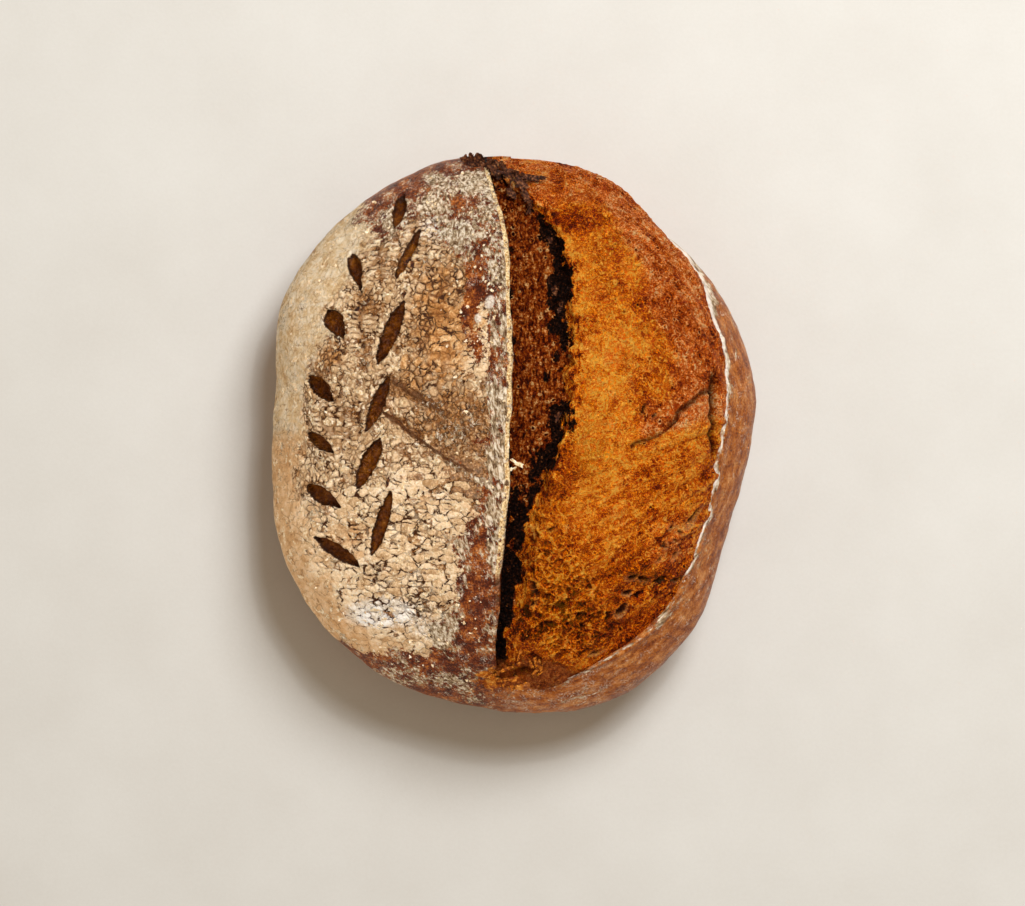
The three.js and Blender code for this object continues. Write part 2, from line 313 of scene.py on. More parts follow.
def run(height, start, end, y, count):
    """Count points a slice, evenly spaced along height's curve from start to end, first one left out."""
    share = (1 - np.cos(np.linspace(0, math.pi, 241))) / 2
    x = start[:, None] + (end - start)[:, None] * share
    z = height(x, np.broadcast_to(y[:, None], x.shape))
    length = np.zeros_like(x)
    length[:, 1:] = np.cumsum(np.hypot(np.diff(x, axis=1), np.diff(z, axis=1)), axis=1)
    wanted = np.linspace(0, 1, count + 1)[1:]
    xs = np.array([np.interp(wanted * row[-1], row, across) for row, across in zip(length, x)])
    return xs, height(xs, np.broadcast_to(y[:, None], xs.shape))


def straight(start, end, count):
    """Count points a slice on a straight line, first one left out. Start and end are (x, z)."""
    share = np.linspace(0, 1, count + 1)[1:]
    return tuple(a[:, None] + (b - a)[:, None] * share for a, b in zip(start, end))


# ---------------------------------------------------------------- pieces from slices

def piece_from_slices(name, y, x, z, masks):
    """A closed piece: a sphere's rings become the slices, top end first. Masks are per point."""
    rings, around = x.shape
    bpy.ops.object.select_all(action="DESELECT")
    bpy.ops.mesh.primitive_uv_sphere_add(segments=around, ring_count=rings + 1, radius=1)
    piece = bpy.context.object
    piece.name = name
    mesh = piece.data
    mesh.name = name
    place = np.zeros(len(mesh.vertices) * 3)
    mesh.vertices.foreach_get("co", place)
    place = place.reshape(-1, 3)
    ring = np.rint(np.arccos(np.clip(place[:, 2], -1, 1)) / math.pi * (rings + 1)).astype(int)
    step = np.rint(np.arctan2(place[:, 1], place[:, 0]) / (2 * math.pi) * around).astype(int) % around
    inner = np.clip(ring - 1, 0, rings - 1)
    pole = (ring == 0) | (ring == rings + 1)

    def spread(field):
        return np.where(pole, field.mean(axis=1)[inner], field[inner, step])

    moved = np.stack([spread(x), y[inner], spread(z)], axis=1)
    mesh.vertices.foreach_set("co", (moved * MM).ravel())
    for mask, field in masks.items():
        values = mesh.attributes.new(mask, "FLOAT", "POINT")
        values.data.foreach_set("value", spread(field).astype(np.float32))
    mesh.update()
    bpy.ops.object.shade_smooth()
    while mesh.uv_layers:
        mesh.uv_layers.remove(mesh.uv_layers[0])
    return piece


def read_points(piece, kind="co"):
    values = np.zeros(len(piece.data.vertices) * 3)
    piece.data.vertices.foreach_get(kind, values)
    return values.reshape(-1, 3)


def read_mask(piece, name):
    values = np.zeros(len(piece.data.vertices), np.float32)
    piece.data.attributes[name].data.foreach_get("value", values)
    return values.astype(float)


def add_mask(piece, name, values):
    made = piece.data.attributes.new(name, "FLOAT", "POINT")
    made.data.foreach_set("value", np.asarray(values, np.float32))


def add_vector(piece, name, values):
    made = piece.data.attributes.new(name, "FLOAT_VECTOR", "POINT")
    made.data.foreach_set("vector", np.asarray(values, np.float32).ravel())


def remember_place(piece):
    """Keeps each point's place in mm, so that relief and colour patterns fall together."""
    add_vector(piece, "dough_place", read_points(piece) / MM)


def bumps(points, size, seed=0.0):
    """Smooth noise at each point, about -1 to 1."""
    shift = Vector((seed, seed * 1.7, -seed))
    return np.array([noise.noise(Vector(p) / size + shift) for p in points]) * 1.6


def grain(across, lengthwise, seed):
    """Smooth noise at each pair of places, about -1 to 1."""
    return np.array([noise.noise((a, seed, b)) for a, b in zip(across, lengthwise)]) * 1.6


def push(piece, heights):
    """Moves each point along its normal, by heights in mm."""
    moved = read_points(piece) + read_points(piece, "normal") * np.asarray(heights)[:, None] * MM
    piece.data.vertices.foreach_set("co", moved.ravel())
    piece.data.update()


def slash_distance(x, y):
    """How far inside the nearest leaf slash a place is, in mm. Negative is outside."""
    nearest = np.full(np.shape(x), -50.0)
    for cx, cy, length, width, turn, fat in SLASHES:
        c, s = math.cos(math.radians(turn)), math.sin(math.radians(turn))
        u = ((x - cx) * c + (y - cy) * s) / (length / 2)
        v = -(x - cx) * s + (y - cy) * c
        half = width / 2 * (1 - np.clip(u, -1, 1) ** 2) ** 0.8 * (1 + fat * u)
        beyond = np.maximum(np.abs(u) - 1, 0) * length / 2
        nearest = np.maximum(nearest, np.where(beyond > 0, -np.hypot(beyond, v), half - np.abs(v)))
    return nearest


def off_path(x, y, path):
    """Distance of a place from a path of straight stretches."""
    nearest = np.full(np.shape(x), 1e3)
    for (ax, ay), (bx, by) in zip(path, path[1:]):
        dx, dy = bx - ax, by - ay
        share = np.clip(((x - ax) * dx + (y - ay) * dy) / (dx * dx + dy * dy), 0, 1)
        nearest = np.minimum(nearest, np.hypot(x - ax - share * dx, y - ay - share * dy))
    return nearest


def hole_masks(x, y):
    """How deep inside a burst hole a place is, and how much it lies on a pale rim that is painted lighter
    on its lit side.
    """
    inside = np.zeros(np.shape(x))
    rim = np.zeros(np.shape(x))
    for cx, cy, length, width, turn, pale in HOLES:
        c, s = math.cos(math.radians(turn)), math.sin(math.radians(turn))
        u = ((x - cx) * c + (y - cy) * s) / (length / 2)
        v = (-(x - cx) * s + (y - cy) * c) / (width / 2)
        out = (np.hypot(u, v) - 1) * width / 2
        inside = np.maximum(inside, ease(0.5 - out / 0.8))
        # Painted highlight: the rim is paler on the side that faces the lamp.
        lit = 0.55 - 0.45 * (u * 0.5 + v * 0.8) / np.maximum(np.hypot(u, v), 0.1)
        rim = np.maximum(rim, pale * lit * band(out - 0.45, 0.42))
    return inside, rim


def spot(x, y, cx, cy, rx, ry, turn=0.0):
    """1 in the middle of a soft oval, falling to 0 outside it."""
    c, s = math.cos(math.radians(turn)), math.sin(math.radians(turn))
    u = ((x - cx) * c + (y - cy) * s) / rx
    v = (-(x - cx) * s + (y - cy) * c) / ry
    return np.exp(-(u * u + v * v))


def band(distance, width):
    """1 on a line, falling softly to 0 on both sides of it."""
    return np.exp(-((distance / width) ** 2))


def spots(x, y):
    """Spot for many places at once, so that it needs only the oval's centre, radii and turn."""
    return lambda *oval: spot(x, y, *oval)


def make_skin():
    y = ring_places(SKIN_RINGS)
    left, right = crossing(skin_radius, y, -1), crossing(skin_radius, y, 1)
    middle = (left + right) / 2
    base_y = y / BASE_SHARE
    on_base = np.abs(base_y) < 120
    safe_y = np.where(on_base, base_y, 0)
    base_left = np.where(on_base, BASE_SHARE * crossing(skin_radius, safe_y, -1), mix(middle, left, 0.08))
    base_right = np.where(on_base, BASE_SHARE * crossing(skin_radius, safe_y, 1), mix(middle, right, 0.08))
    torn = torn_share(y)
    ear = np.clip(ear_x(y), mix(left, right, 0.25), mix(left, right, 0.55))
    rim_line = crossing(bloom_radius, np.maximum(y, TEAR_BOTTOM), 1) - 1
    rim = np.clip(rim_line, mix(ear, right, 0.4), mix(ear, right, 0.9))
    step = (rim - ear) / 30
    tip = skin_top(ear - 1.2, y)

    def rimmed(x, y):
        """The skin right of the bloom, with the bead along its torn rim."""
        line = rim[:, None]
        bead = 1.3 * band(x - line - 1.2, 1.8) * torn[:, None]
        return dome_top(x, y) + bead

    runs = [
        run(skin_under, middle, base_left, y, 4),
        run(skin_under, base_left, left, y, 13),
        run(skin_top, left, ear - 1.4, y, 168),
    ]
    # The lip's rounded edge and underside, each point as (plain offset in steps, torn offset, drop).
    lip = [
        (0.2, -0.6, 0.25), (0.4, 0.0, 0.8), (0.6, 0.2, 1.5), (0.8, -0.1, 2.2), (1.0, -0.8, 2.7),
        (1.2, -2.2, 3.6), (1.4, -3.8, 5.2), (1.6, -5.4, 7.4), (1.8, -6.6, 9.2), (2.0, -7.0, 10.4),
    ]
    lip_x, lip_z = [], []
    for steps, shift, drop in lip:
        plain = ear - 1.4 + (steps + 0.4) * step
        lip_x.append(mix(plain, ear + shift, torn))
        lip_z.append(mix(dome_top(plain, y), tip - drop, torn))
    runs.append((np.stack(lip_x, axis=1), np.stack(lip_z, axis=1)))
    floor_start = lip_x[-1]
    floor_end = rim - 2 * step
    floor_share = np.linspace(0, 1, 29)[1:]
    floor_x = floor_start[:, None] + (floor_end - floor_start)[:, None] * floor_share
    ragged = y[:, None] + 3.2 * wander(floor_x, 6, 4.4) + 1.4 * wander(floor_x, 2.1, 6.6) - 1.5
    sink = mix(SKIN_SINK, SKIN_SINK / 2, floor_share)[None, :] * torn_share(ragged) * np.sqrt(torn)[:, None]
    runs.append((floor_x, dome_top(floor_x, y[:, None]) - sink))
    runs.append((rim[:, None], rimmed(rim[:, None], y[:, None])))
    runs.append(run(rimmed, rim, right, y, 42))
    runs.append(run(skin_under, right, base_right, y, 14))
    runs.append(run(skin_under, base_right, middle, y, 3))
    x = np.concatenate([r[0] for r in runs], axis=1)
    z = np.concatenate([r[1] for r in runs], axis=1)
    starts = np.cumsum([0] + [r[0].shape[1] for r in runs])
    columns = np.arange(x.shape[1])
    is_skirt = columns >= starts[5]
    lip_edge = np.zeros_like(x)
    cut = torn * (1 - 0.7 * ease((-50 - y) / 14)) * ease((y + 99) / 4)
    lip_edge[:, starts[3] - 1:starts[3] + 2] = cut[:, None]
    # Points under the ear's lip, which the finish paints near-black as shade.
    under = np.zeros_like(x)
    under[:, starts[3] + 3:starts[4]] = torn[:, None]
    floured_side = np.broadcast_to(columns < starts[4], x.shape).astype(float)
    rim_distance = np.where(is_skirt[None, :], np.maximum(x - rim[:, None], 0), 40.0)
    masks = {
        "lip_edge": lip_edge,
        "shade_under_lip": under,
        "rim_distance": rim_distance,
        "left_side": floured_side,
    }
    return piece_from_slices("floured_skin", y, x, z, masks)


def make_bloom():
    y = ring_places(BLOOM_RINGS)
    y = mix(TEAR_BOTTOM, TEAR_TOP + 2, (y - BOTTOM_END) / (TOP_END - BOTTOM_END))
    torn = torn_share(y)
    strip_right = strip_end(y)
    right = np.maximum(crossing(bloom_radius, y, 1), strip_right + 2 * ledge(y))
    strip_left = along(EAR_X, y) - mix(4, EAR_UNDERCUT + 2, torn)
    strip_top = skin_top(along(EAR_X, y), y) - mix(2.2, EAR_FOLD_DEPTH - 0.4, torn)
    strip_bottom = bloom_top(strip_right, y)
    rim_height = bloom_top(right, y)
    root = np.minimum(np.minimum(rim_height, strip_bottom), strip_top) - mix(3, BLOOM_ROOT, torn)

    strip_share = np.linspace(0, 1, 49)
    strip_x = strip_left[:, None] + (strip_right - strip_left)[:, None] * strip_share
    sag = 2.2 * np.sin(strip_share * math.pi)[None, :] * torn[:, None]
    strip_z = strip_top[:, None] + (strip_bottom - strip_top)[:, None] * strip_share - sag
    crest = (0.7 + 1.0 * wander(y, 7, 2.2) + 0.6 * wander(y, 2.6, 9.1)) * torn * ease((y + 25) / 30)

    def crested(x, y):
        edge = strip_right[:, None] + 0.8 * ledge(y[:, :1])
        ridge = np.maximum(crest, 0)[:, None] * band(x - edge, 1.5)
        return bloom_top(x, y) + ridge

    tucked = mix(right, strip_right, 0.04), mix(rim_height, root, 0.5)
    keel = mix(right, strip_right, 0.3), root
    runs = [
        (strip_x, strip_z),
        run(crested, strip_right, strip_right + ledge(y), y, 10),
        run(crested, strip_right + ledge(y), right, y, 148),
        straight((right, rim_height), tucked, 4),
        straight(tucked, keel, 4),
        straight(keel, (strip_left, root), 4),
    ]
    x = np.concatenate([r[0] for r in runs], axis=1)
    z = np.concatenate([r[1] for r in runs], axis=1)
    starts = np.cumsum([0] + [r[0].shape[1] for r in runs])
    rim_distance = np.maximum(right[:, None] - x, 0)
    rim_distance[:, starts[3]:] = 0
    masks = {
        "wall_distance": x - strip_right[:, None],
        "rim_distance": rim_distance,
        "ear_distance": x - ear_x(y)[:, None],
    }
    return piece_from_slices("torn_bloom", y, x, z, masks)


# ---------------------------------------------------------------- node wiring

def as_light(value):
    """The linear light of a colour's #rrggbb code. Anything else stays as it is."""
    if not isinstance(value, str):
        return value
    parts = [int(value[i:i + 2], 16) / 255 for i in (1, 3, 5)]
    light = [p / 12.92 if p <= 0.04045 else ((p + 0.055) / 1.055) ** 2.4 for p in parts]
    return (*light, 1.0)


class Wiring:
    """Adds nodes to one tree. Values may be numbers, colours or other nodes' outputs."""

    def __init__(self, tree):
        self.tree = tree
        self.is_shader = tree.bl_idname == "ShaderNodeTree"

    def node(self, kind, **settings):
        made = self.tree.nodes.new(kind)
        for key, value in settings.items():
            setattr(made, key, value)
        return made

    def set(self, socket, value):
        if isinstance(value, bpy.types.NodeSocket):
            self.tree.links.new(value, socket)
        elif value is not None:
            socket.default_value = as_light(value)

    def math(self, operation, a, b=None, c=None, clamp=False):
        made = self.node("ShaderNodeMath", operation=operation, use_clamp=clamp)
        for socket, value in zip(made.inputs, (a, b, c)):
            self.set(socket, value)
        return made.outputs[0]

    def add(self, first, *more):
        """The sum of all values given. Times and most work the same way."""
        for value in more:
            first = self.math("ADD", first, value)
        return first

    def minus(self, a, b):
        return self.math("SUBTRACT", a, b)

    def times(self, first, *more):
        for value in more:
            first = self.math("MULTIPLY", first, value)
        return first

    def most(self, first, *more):
        for value in more:
            first = self.math("MAXIMUM", first, value)
        return first

    def scaled(self, value, factor, offset):
        """Value times factor, plus offset."""
        return self.math("MULTIPLY_ADD", value, factor, offset)

    def vector(self, operation, a, b=None, scale=None):
        made = self.node("ShaderNodeVectorMath", operation=operation)
        self.set(made.inputs[0], a)
        self.set(made.inputs[1], b)
        if scale is not None:
            self.set(made.inputs["Scale"], scale)
        return made.outputs[0]

    def parts(self, vector):
        """The three numbers of a vector or colour."""
        made = self.node("ShaderNodeSeparateXYZ")
        self.set(made.inputs[0], vector)
        return made.outputs

    def span(self, value, low, high, to_low=0.0, to_high=1.0):
        """Value's range from low to high becomes to_low to to_high, with soft ends."""
        made = self.node("ShaderNodeMapRange", interpolation_type="SMOOTHSTEP")
        for socket, given in zip(made.inputs, (value, low, high, to_low, to_high)):
            self.set(socket, given)
        return made.outputs[0]

    def noise(self, place, size, detail=3.0, roughness=0.5, colour=False):
        """Smooth noise about a half, whose main lumps are about size across."""
        made = self.node("ShaderNodeTexNoise")
        self.set(made.inputs["Vector"], place)
        self.set(made.inputs["Scale"], 1 / size)
        self.set(made.inputs["Detail"], detail)
        self.set(made.inputs["Roughness"], roughness)
        return made.outputs["Color"] if colour else made.outputs[0]

    def swing(self, value, amount):
        """A value about a half, made to swing by that amount about nought."""
        return self.scaled(value, amount, -amount / 2)

    def cells(self, place, size, feature="F1", randomness=1.0):
        made = self.node("ShaderNodeTexVoronoi", feature=feature)
        self.set(made.inputs["Vector"], place)
        self.set(made.inputs["Scale"], 1 / size)
        self.set(made.inputs["Randomness"], randomness)
        return made

    def mix(self, share, a, b):
        """A colour between a and b."""
        made = self.node("ShaderNodeMix", data_type="RGBA")
        self.set(made.inputs["Factor"], share)
        self.set(made.inputs["A"], a)
        self.set(made.inputs["B"], b)
        return made.outputs["Result"]

    def ramp(self, value, stops):
        made = self.node("ShaderNodeValToRGB")
        elements = made.color_ramp.elements
        elements[0].position, elements[0].color = stops[0][0], as_light(stops[0][1])
        elements[1].position, elements[1].color = stops[-1][0], as_light(stops[-1][1])
        for position, colour in stops[1:-1]:
            elements.new(position).color = as_light(colour)
        self.set(made.inputs[0], value)
        return made.outputs[0]

    def mask(self, name):
        """A mask kept on the piece's points."""
        if self.is_shader:
            return self.node("ShaderNodeAttribute", attribute_name=name).outputs["Fac"]
        made = self.node("GeometryNodeInputNamedAttribute", data_type="FLOAT")
        made.inputs["Name"].default_value = name
        return made.outputs["Attribute"]

    def kept(self, name):
        """A vector kept on the piece's points."""
        if self.is_shader:
            return self.node("ShaderNodeAttribute", attribute_name=name).outputs["Vector"]
        made = self.node("GeometryNodeInputNamedAttribute", data_type="FLOAT_VECTOR")
        made.inputs["Name"].default_value = name
        return made.outputs["Attribute"]

    def place(self):
        """The place in mm that was kept before the fine relief."""
        return self.kept("dough_place")

    def shifted(self, place, size, amount, detail=2.0):
        """The place with wandering added, so that straight patterns bend."""
        drift = self.noise(place, size, detail=detail, colour=True)
        centred = self.vector("SUBTRACT", drift, (0.5, 0.5, 0.5))
        return self.vector("ADD", place, self.vector("SCALE", centred, scale=amount))


def effect(kind, name, inputs, outputs):
    """A node group with named sockets. Inputs map a name to (socket type, default)."""
    tree = bpy.data.node_groups.new(name, kind)
    for label, (socket, default) in inputs.items():
        made = tree.interface.new_socket(label, in_out="INPUT", socket_type="NodeSocket" + socket)
        if default is not None:
            made.default_value = default
    for label, socket in outputs.items():
        tree.interface.new_socket(label, in_out="OUTPUT", socket_type="NodeSocket" + socket)
    wiring = Wiring(tree)
    return wiring, wiring.node("NodeGroupInput").outputs, wiring.node("NodeGroupOutput").inputs


def use(wiring, group, **values):
    """Places a group and sets its inputs. Spaces in names are written as underscores."""
    made = wiring.node("ShaderNodeGroup" if wiring.is_shader else "GeometryNodeGroup")
    made.node_tree = group
    for key, value in values.items():
        wiring.set(made.inputs[key.replace("_", " ").capitalize()], value)
    return made.outputs


# ---------------------------------------------------------------- where the flour, folds, char and painted shade lie

def crease_line(x):
    """Y of the worn crease that runs down across the flour."""
    share = np.clip((x + 58) / 53, 0, 1)
    return 13 - 33 * share - 3 * np.sin(share * math.pi)


def skin_zones(skin):
    """Masks for the skin's flour, crackle and browning, from 0 to 1."""
    place = read_points(skin) / MM
    x, y = place[:, 0], place[:, 1]
    at = spots(x, y)
    share = skin_share(x, y)
    turn = turn_of(x, y)
    torn = torn_share(y)
    left = mix(1 - ease((x + 16) / 26), read_mask(skin, "left_side"), torn) * ease((place[:, 2] - 24) / 16)
    blotch = bumps(place, 14, 4.0)
    fleck = bumps(place, 5, 7.0)
    slash = np.where(left > 0.5, slash_distance(x, y), -50)
    slash += 0.34 * bumps(place, 2.2, 9.0) + 0.24 * bumps(place, 1.0, 10.0)

    # The thick flour covers the left half, but not its ends, the ear's foot or where it rubbed off.
    foot_x = np.interp(-y, FOOT_Y, FOOT_X)
    foot = ease(0.5 + (x - foot_x + 4 * blotch + 2 * fleck) / 9) * ease((-14 - y + 4 * blotch) / 6)
    below = ease((-92 - y + 4 * blotch - 0.1 * (x + 40)) / 9)
    top_band = ease((share - 0.8 + 0.05 * blotch) / 0.1)
    top_band *= ease((y - 60) / 28) * ease((x + 72 + 4 * blotch) / 12)
    rubbed = 1.2 * at(-17, 56, 4.6, 16, -6) + 0.8 * at(-14, 36, 3.6, 7)
    rubbed += 0.55 * at(-14, -3, 6, 4) + 0.5 * at(-30, 104, 12, 5, -30)
    crease = band(y - crease_line(x), 2.6 + 1.2 * fleck)
    crease *= ease((x + 62) / 8) * ease((-6 - x) / 8) * np.clip(0.8 + 0.6 * blotch, 0, 1)
    ear_reach = mix(9, 34, ease((y - 52) / 42)) + 1.5 * blotch
    near_ear = ease((1.15 * ear_reach + 1 + x) / (0.35 * ear_reach)) * ease((y + 62 + 6 * blotch) / 24)
    near_ear *= ease((117 - y) / 16)
    bare = foot + below + 0.9 * top_band + rubbed + 0.45 * crease + 0.8 * near_ear
    flour = left * np.clip(1 - bare, 0, 1)

    above_crease = ease((y - crease_line(x)) / 4) * ease((x + 48) / 10) * ease((26 - y) / 14)
    toast = 1.2 * at(-30, 48, 13, 30) + 0.5 * at(-22, 6, 14, 10)
    toast += 0.9 * at(-62, 57, 5, 7) + 0.9 * at(-76, 34, 6, 5) + 0.6 * at(-45, 22, 6, 10)
    toast += 0.3 * above_crease + 0.2 * fleck
    warm = 1.1 * at(-94, -10, 6, 30, -4) + 0.8 * at(-72, -86, 20, 8, -40)
    warm += 0.5 * at(-84, 30, 5, 14) + 0.7 * at(-70, -44, 9, 8) + 0.45 * fleck + 0.2 * blotch
    white = 1.9 * at(-57, -77, 12.5, 5.5, 4) + 0.5 * at(-36, -84, 12, 7)
    white += 0.8 * at(-28, 91, 9, 8) + 0.4 * at(-48, 88, 12, 8)
    white += 0.35 * at(-86, 60, 12, 26, -20) + 0.25 * at(-48, -14, 16, 12)
    flank_start = 0.82 - 0.075 * ease((y - 22) / 20) * ease((88 - y) / 34)
    flank = ease((share - flank_start + 0.04 * blotch + 0.02 * fleck) / 0.09)
    flank *= (1 - 0.4 * ease((turn - 270) / 20)) * (1 - 0.6 * ease((turn - 282) / 14))
    lower_left = ease((share - 0.8 + 0.05 * blotch) / 0.14)
    lower_left *= ease((turn - 262) / 20) * ease((350 - turn) / 14)
    ribs = 1.1 * at(-58, 80, 9, 14, -8) + 1.1 * at(-75, 5, 11, 11) + 0.8 * at(-65, 44, 7, 14)
    ribs += 0.6 * at(-44, 84, 8, 12)
    plates = ease((-12 - y + 5 * blotch + 0.25 * (x + 50)) / 8) + 0.5 * lower_left
    plates += 0.7 * ease((x + 38) / 8) * ease((66 - y) / 12) * ease((y - 20) / 8)
    torn_open = 0.7 * at(-58, -66, 12, 10) + 0.9 * at(-38, -68, 9, 16) + 0.8 * at(-44, -40, 14, 14)
    gaps = 0.36 + 0.4 * torn_open + 0.35 * at(-64, -30, 14, 16) + 0.1 * toast + 0.25 * blotch
    thin = 0.35 * at(-58, 34, 18, 46, 8) + 0.5 * at(-26, -14, 22, 10, -20) + 0.3 * above_crease
    thin += 0.5 * at(-47, 96, 12, 10) + 0.35 * at(-16, -34, 10, 14) + 0.3 * near_ear
    thin += 0.4 * at(-16, 6, 8, 28) + 1.2 * crease
    scrape = band(y - 24 + 0.65 * (x + 52) + 1.5 * fleck, 2.2)
    scrape *= ease((x + 54) / 4) * ease((-24 - x) / 6)
    thin += 0.9 * scrape
    seam = band(y - crease_line(x) + 1.2 + 1.4 * fleck, 1.1) * ease((x + 60) / 6) * ease((-12 - x) / 8)
    seam = np.maximum(seam, 0.6 * scrape)
    thin += 0.5 * at(-78, 26, 7, 9) + 0.22 * blotch

    powder = 0.58 * near_ear + 0.2 * at(-24, 88, 10, 7) + 0.3 * at(-33, -86, 12, 8)
    powder += 0.45 * band(y - crease_line(x) + 3.6, 1.8) * ease((x + 48) / 8) * ease((-4 - x) / 8)
    powder += 0.5 * band(x - foot_x - 3 + 3 * blotch, 4) * ease((-26 - y) / 10) * ease((y + 96) / 8)
    powder += 0.16 * below + 0.1 * foot + 0.3 * above_crease + 0.12 * ease((share - 0.5) / 0.3)
    powder += 0.42 * top_band * (1 - ease((share - 0.93 + 0.03 * fleck) / 0.05)) + 0.12 * top_band
    powder += 0.36 * at(-8.5, -74, 2.2, 24) + 0.3 * at(-34, -108, 12, 4) - 0.8 * rubbed
    powder += 0.5 * at(-35, 112, 5, 2.6, 10) - 0.12 * at(-27, 104, 16, 8)
    powder += 0.22 * blotch + 0.12 * fleck
    second = 0.5 * at(34, -114, 10, 2.2, 18) + 0.3 * at(70, -78, 12, 3, 50) + 0.1 * fleck
    powder = mix(0.04 + second, np.clip(powder, 0, 1.2), left)
    dry = mix(0.36 + 0.2 * ease((-98 - y) / 10), 0.34, left)
    torn_foot = 1.2 * at(4, -103, 15, 5.5, 8) + 0.8 * at(-8, -108, 9, 3.4, 4)

    masks = {
        "flour": flour, "toast": toast * left, "warm": warm, "white": white * left, "flank": flank * left,
        "faint": lower_left * left, "powder": powder, "ribs": ribs * left, "plates": plates, "gaps": gaps,
        "thin": thin, "slash": slash, "crease": crease * left, "seam": seam * left,
        "streaks": np.maximum((near_ear + 0.8 * foot) * left, 1 - left),
        "torn_foot": torn_foot, "skirt": 1 - left, "dry": dry,
        "lump": at(-9, 56.5, 2.3, 3.6, -20) + at(-14, 49.5, 1.9, 2.4),
    }
    for name, values in masks.items():
        limit = (-50, 10) if name == "slash" else (0, 1.6)
        add_mask(skin, name, np.clip(values, *limit))

    # Dust is wiped along the loaf on the floured side and along the rim on the other.
    wiped = np.stack([x + 0.25 * y, 0.4 * y - 0.1 * x, place[:, 2]], axis=1)
    rimmed = np.stack([np.hypot(x, y), turn * 0.5, 0.4 * place[:, 2]], axis=1)
    add_vector(skin, "wiped_place", mix(rimmed, wiped, np.rint(left)[:, None]))
    return place


def shape_skin(skin):
    """The skin's larger unevenness, leaf slashes and worn crease, as real relief."""
    place = skin_zones(skin)
    slash = read_mask(skin, "slash")
    recess = SLASH_DEPTH * ease((slash + 0.2) / 1.2)
    curl = 0.5 * band(slash + 0.8, 0.7)
    free = ease((place[:, 2] - 4) / 12)
    heights = 0.9 * bumps(place, 34, 1.0) + 0.4 * bumps(place, 12, 2.0) + 0.12 * bumps(place, 4, 3.0)
    heights *= free
    x, y = place[:, 0], place[:, 1]
    at = spots(x, y)
    # A hollow at the tear's foot is sunk here; the finish also paints it near-black as shade.
    hollow = at(5, -103.4, 6, 2.3, 15) + 0.7 * at(-5, -105.6, 2.4, 1.6, 10)
    heights += curl - recess - 0.7 * read_mask(skin, "crease")
    heights += 1.3 * read_mask(skin, "lump") - 3.0 * hollow
    heights += 0.8 * read_mask(skin, "torn_foot") * bumps(place, 3.6, 14.0)
    add_mask(skin, "hollow", hollow)
    push(skin, heights * (1 - 0.8 * read_mask(skin, "lip_edge")))
    remember_place(skin)


def dust_rim(skin, bloom):
    """Flour on the skin where it comes out from under the bloom: a white line with haze beside it."""
    scene_state = bpy.context.evaluated_depsgraph_get()
    skin_tree, bloom_tree = (BVHTree.FromObject(piece, scene_state) for piece in (skin, bloom))
    edge = []
    for turn in range(181):
        outer = float(bloom_radius(np.array([float(turn)]))[0]) + 1.5
        for reach in np.arange(outer, outer - 10, -0.25):
            across, ahead = reach * math.sin(math.radians(turn)), -reach * math.cos(math.radians(turn))
            above = Vector((across, ahead, ABOVE)) * MM
            on_skin, on_bloom = skin_tree.ray_cast(above, DOWN)[0], bloom_tree.ray_cast(above, DOWN)[0]
            if on_bloom and (not on_skin or on_bloom.z > on_skin.z):
                break
        edge.append(reach)
    edge = np.convolve(np.pad(edge, 1, mode="edge"), np.ones(3) / 3, mode="valid")

    place = read_points(skin) / MM
    x, y = place[:, 0], place[:, 1]
    distance = np.maximum(np.hypot(x, y) - np.interp(np.minimum(turn_of(x, y), 180), range(181), edge), 0)
    distance = np.where(read_mask(skin, "rim_distance") > 30, 40, distance)
    wedge = ease((y - 5) / 70) * ease((96 - y) / 8)
    on_rim = ease((x - 16) / 18) * ease((place[:, 2] - 26) / 8) * read_mask(skin, "skirt")
    line = band(distance, mix(1.25, 2.4, wedge)) * on_rim
    uneven = 0.35 * bumps(place, 6, 15.0) + 0.2 * bumps(place, 2, 16.0)
    line *= np.clip(mix(0.92, 0.95, wedge) + uneven, 0, 1)
    haze = np.exp(-distance / mix(2.4, 5.5, wedge)) * on_rim * (0.9 + 0.5 * bumps(place, 14, 4.0))
    powder = read_mask(skin, "powder") + 1.0 * line + mix(0.5, 0.82, wedge) * haze
    skin.data.attributes["powder"].data.foreach_set("value", np.clip(powder, 0, 1.6).astype(np.float32))
    add_mask(skin, "line", line)


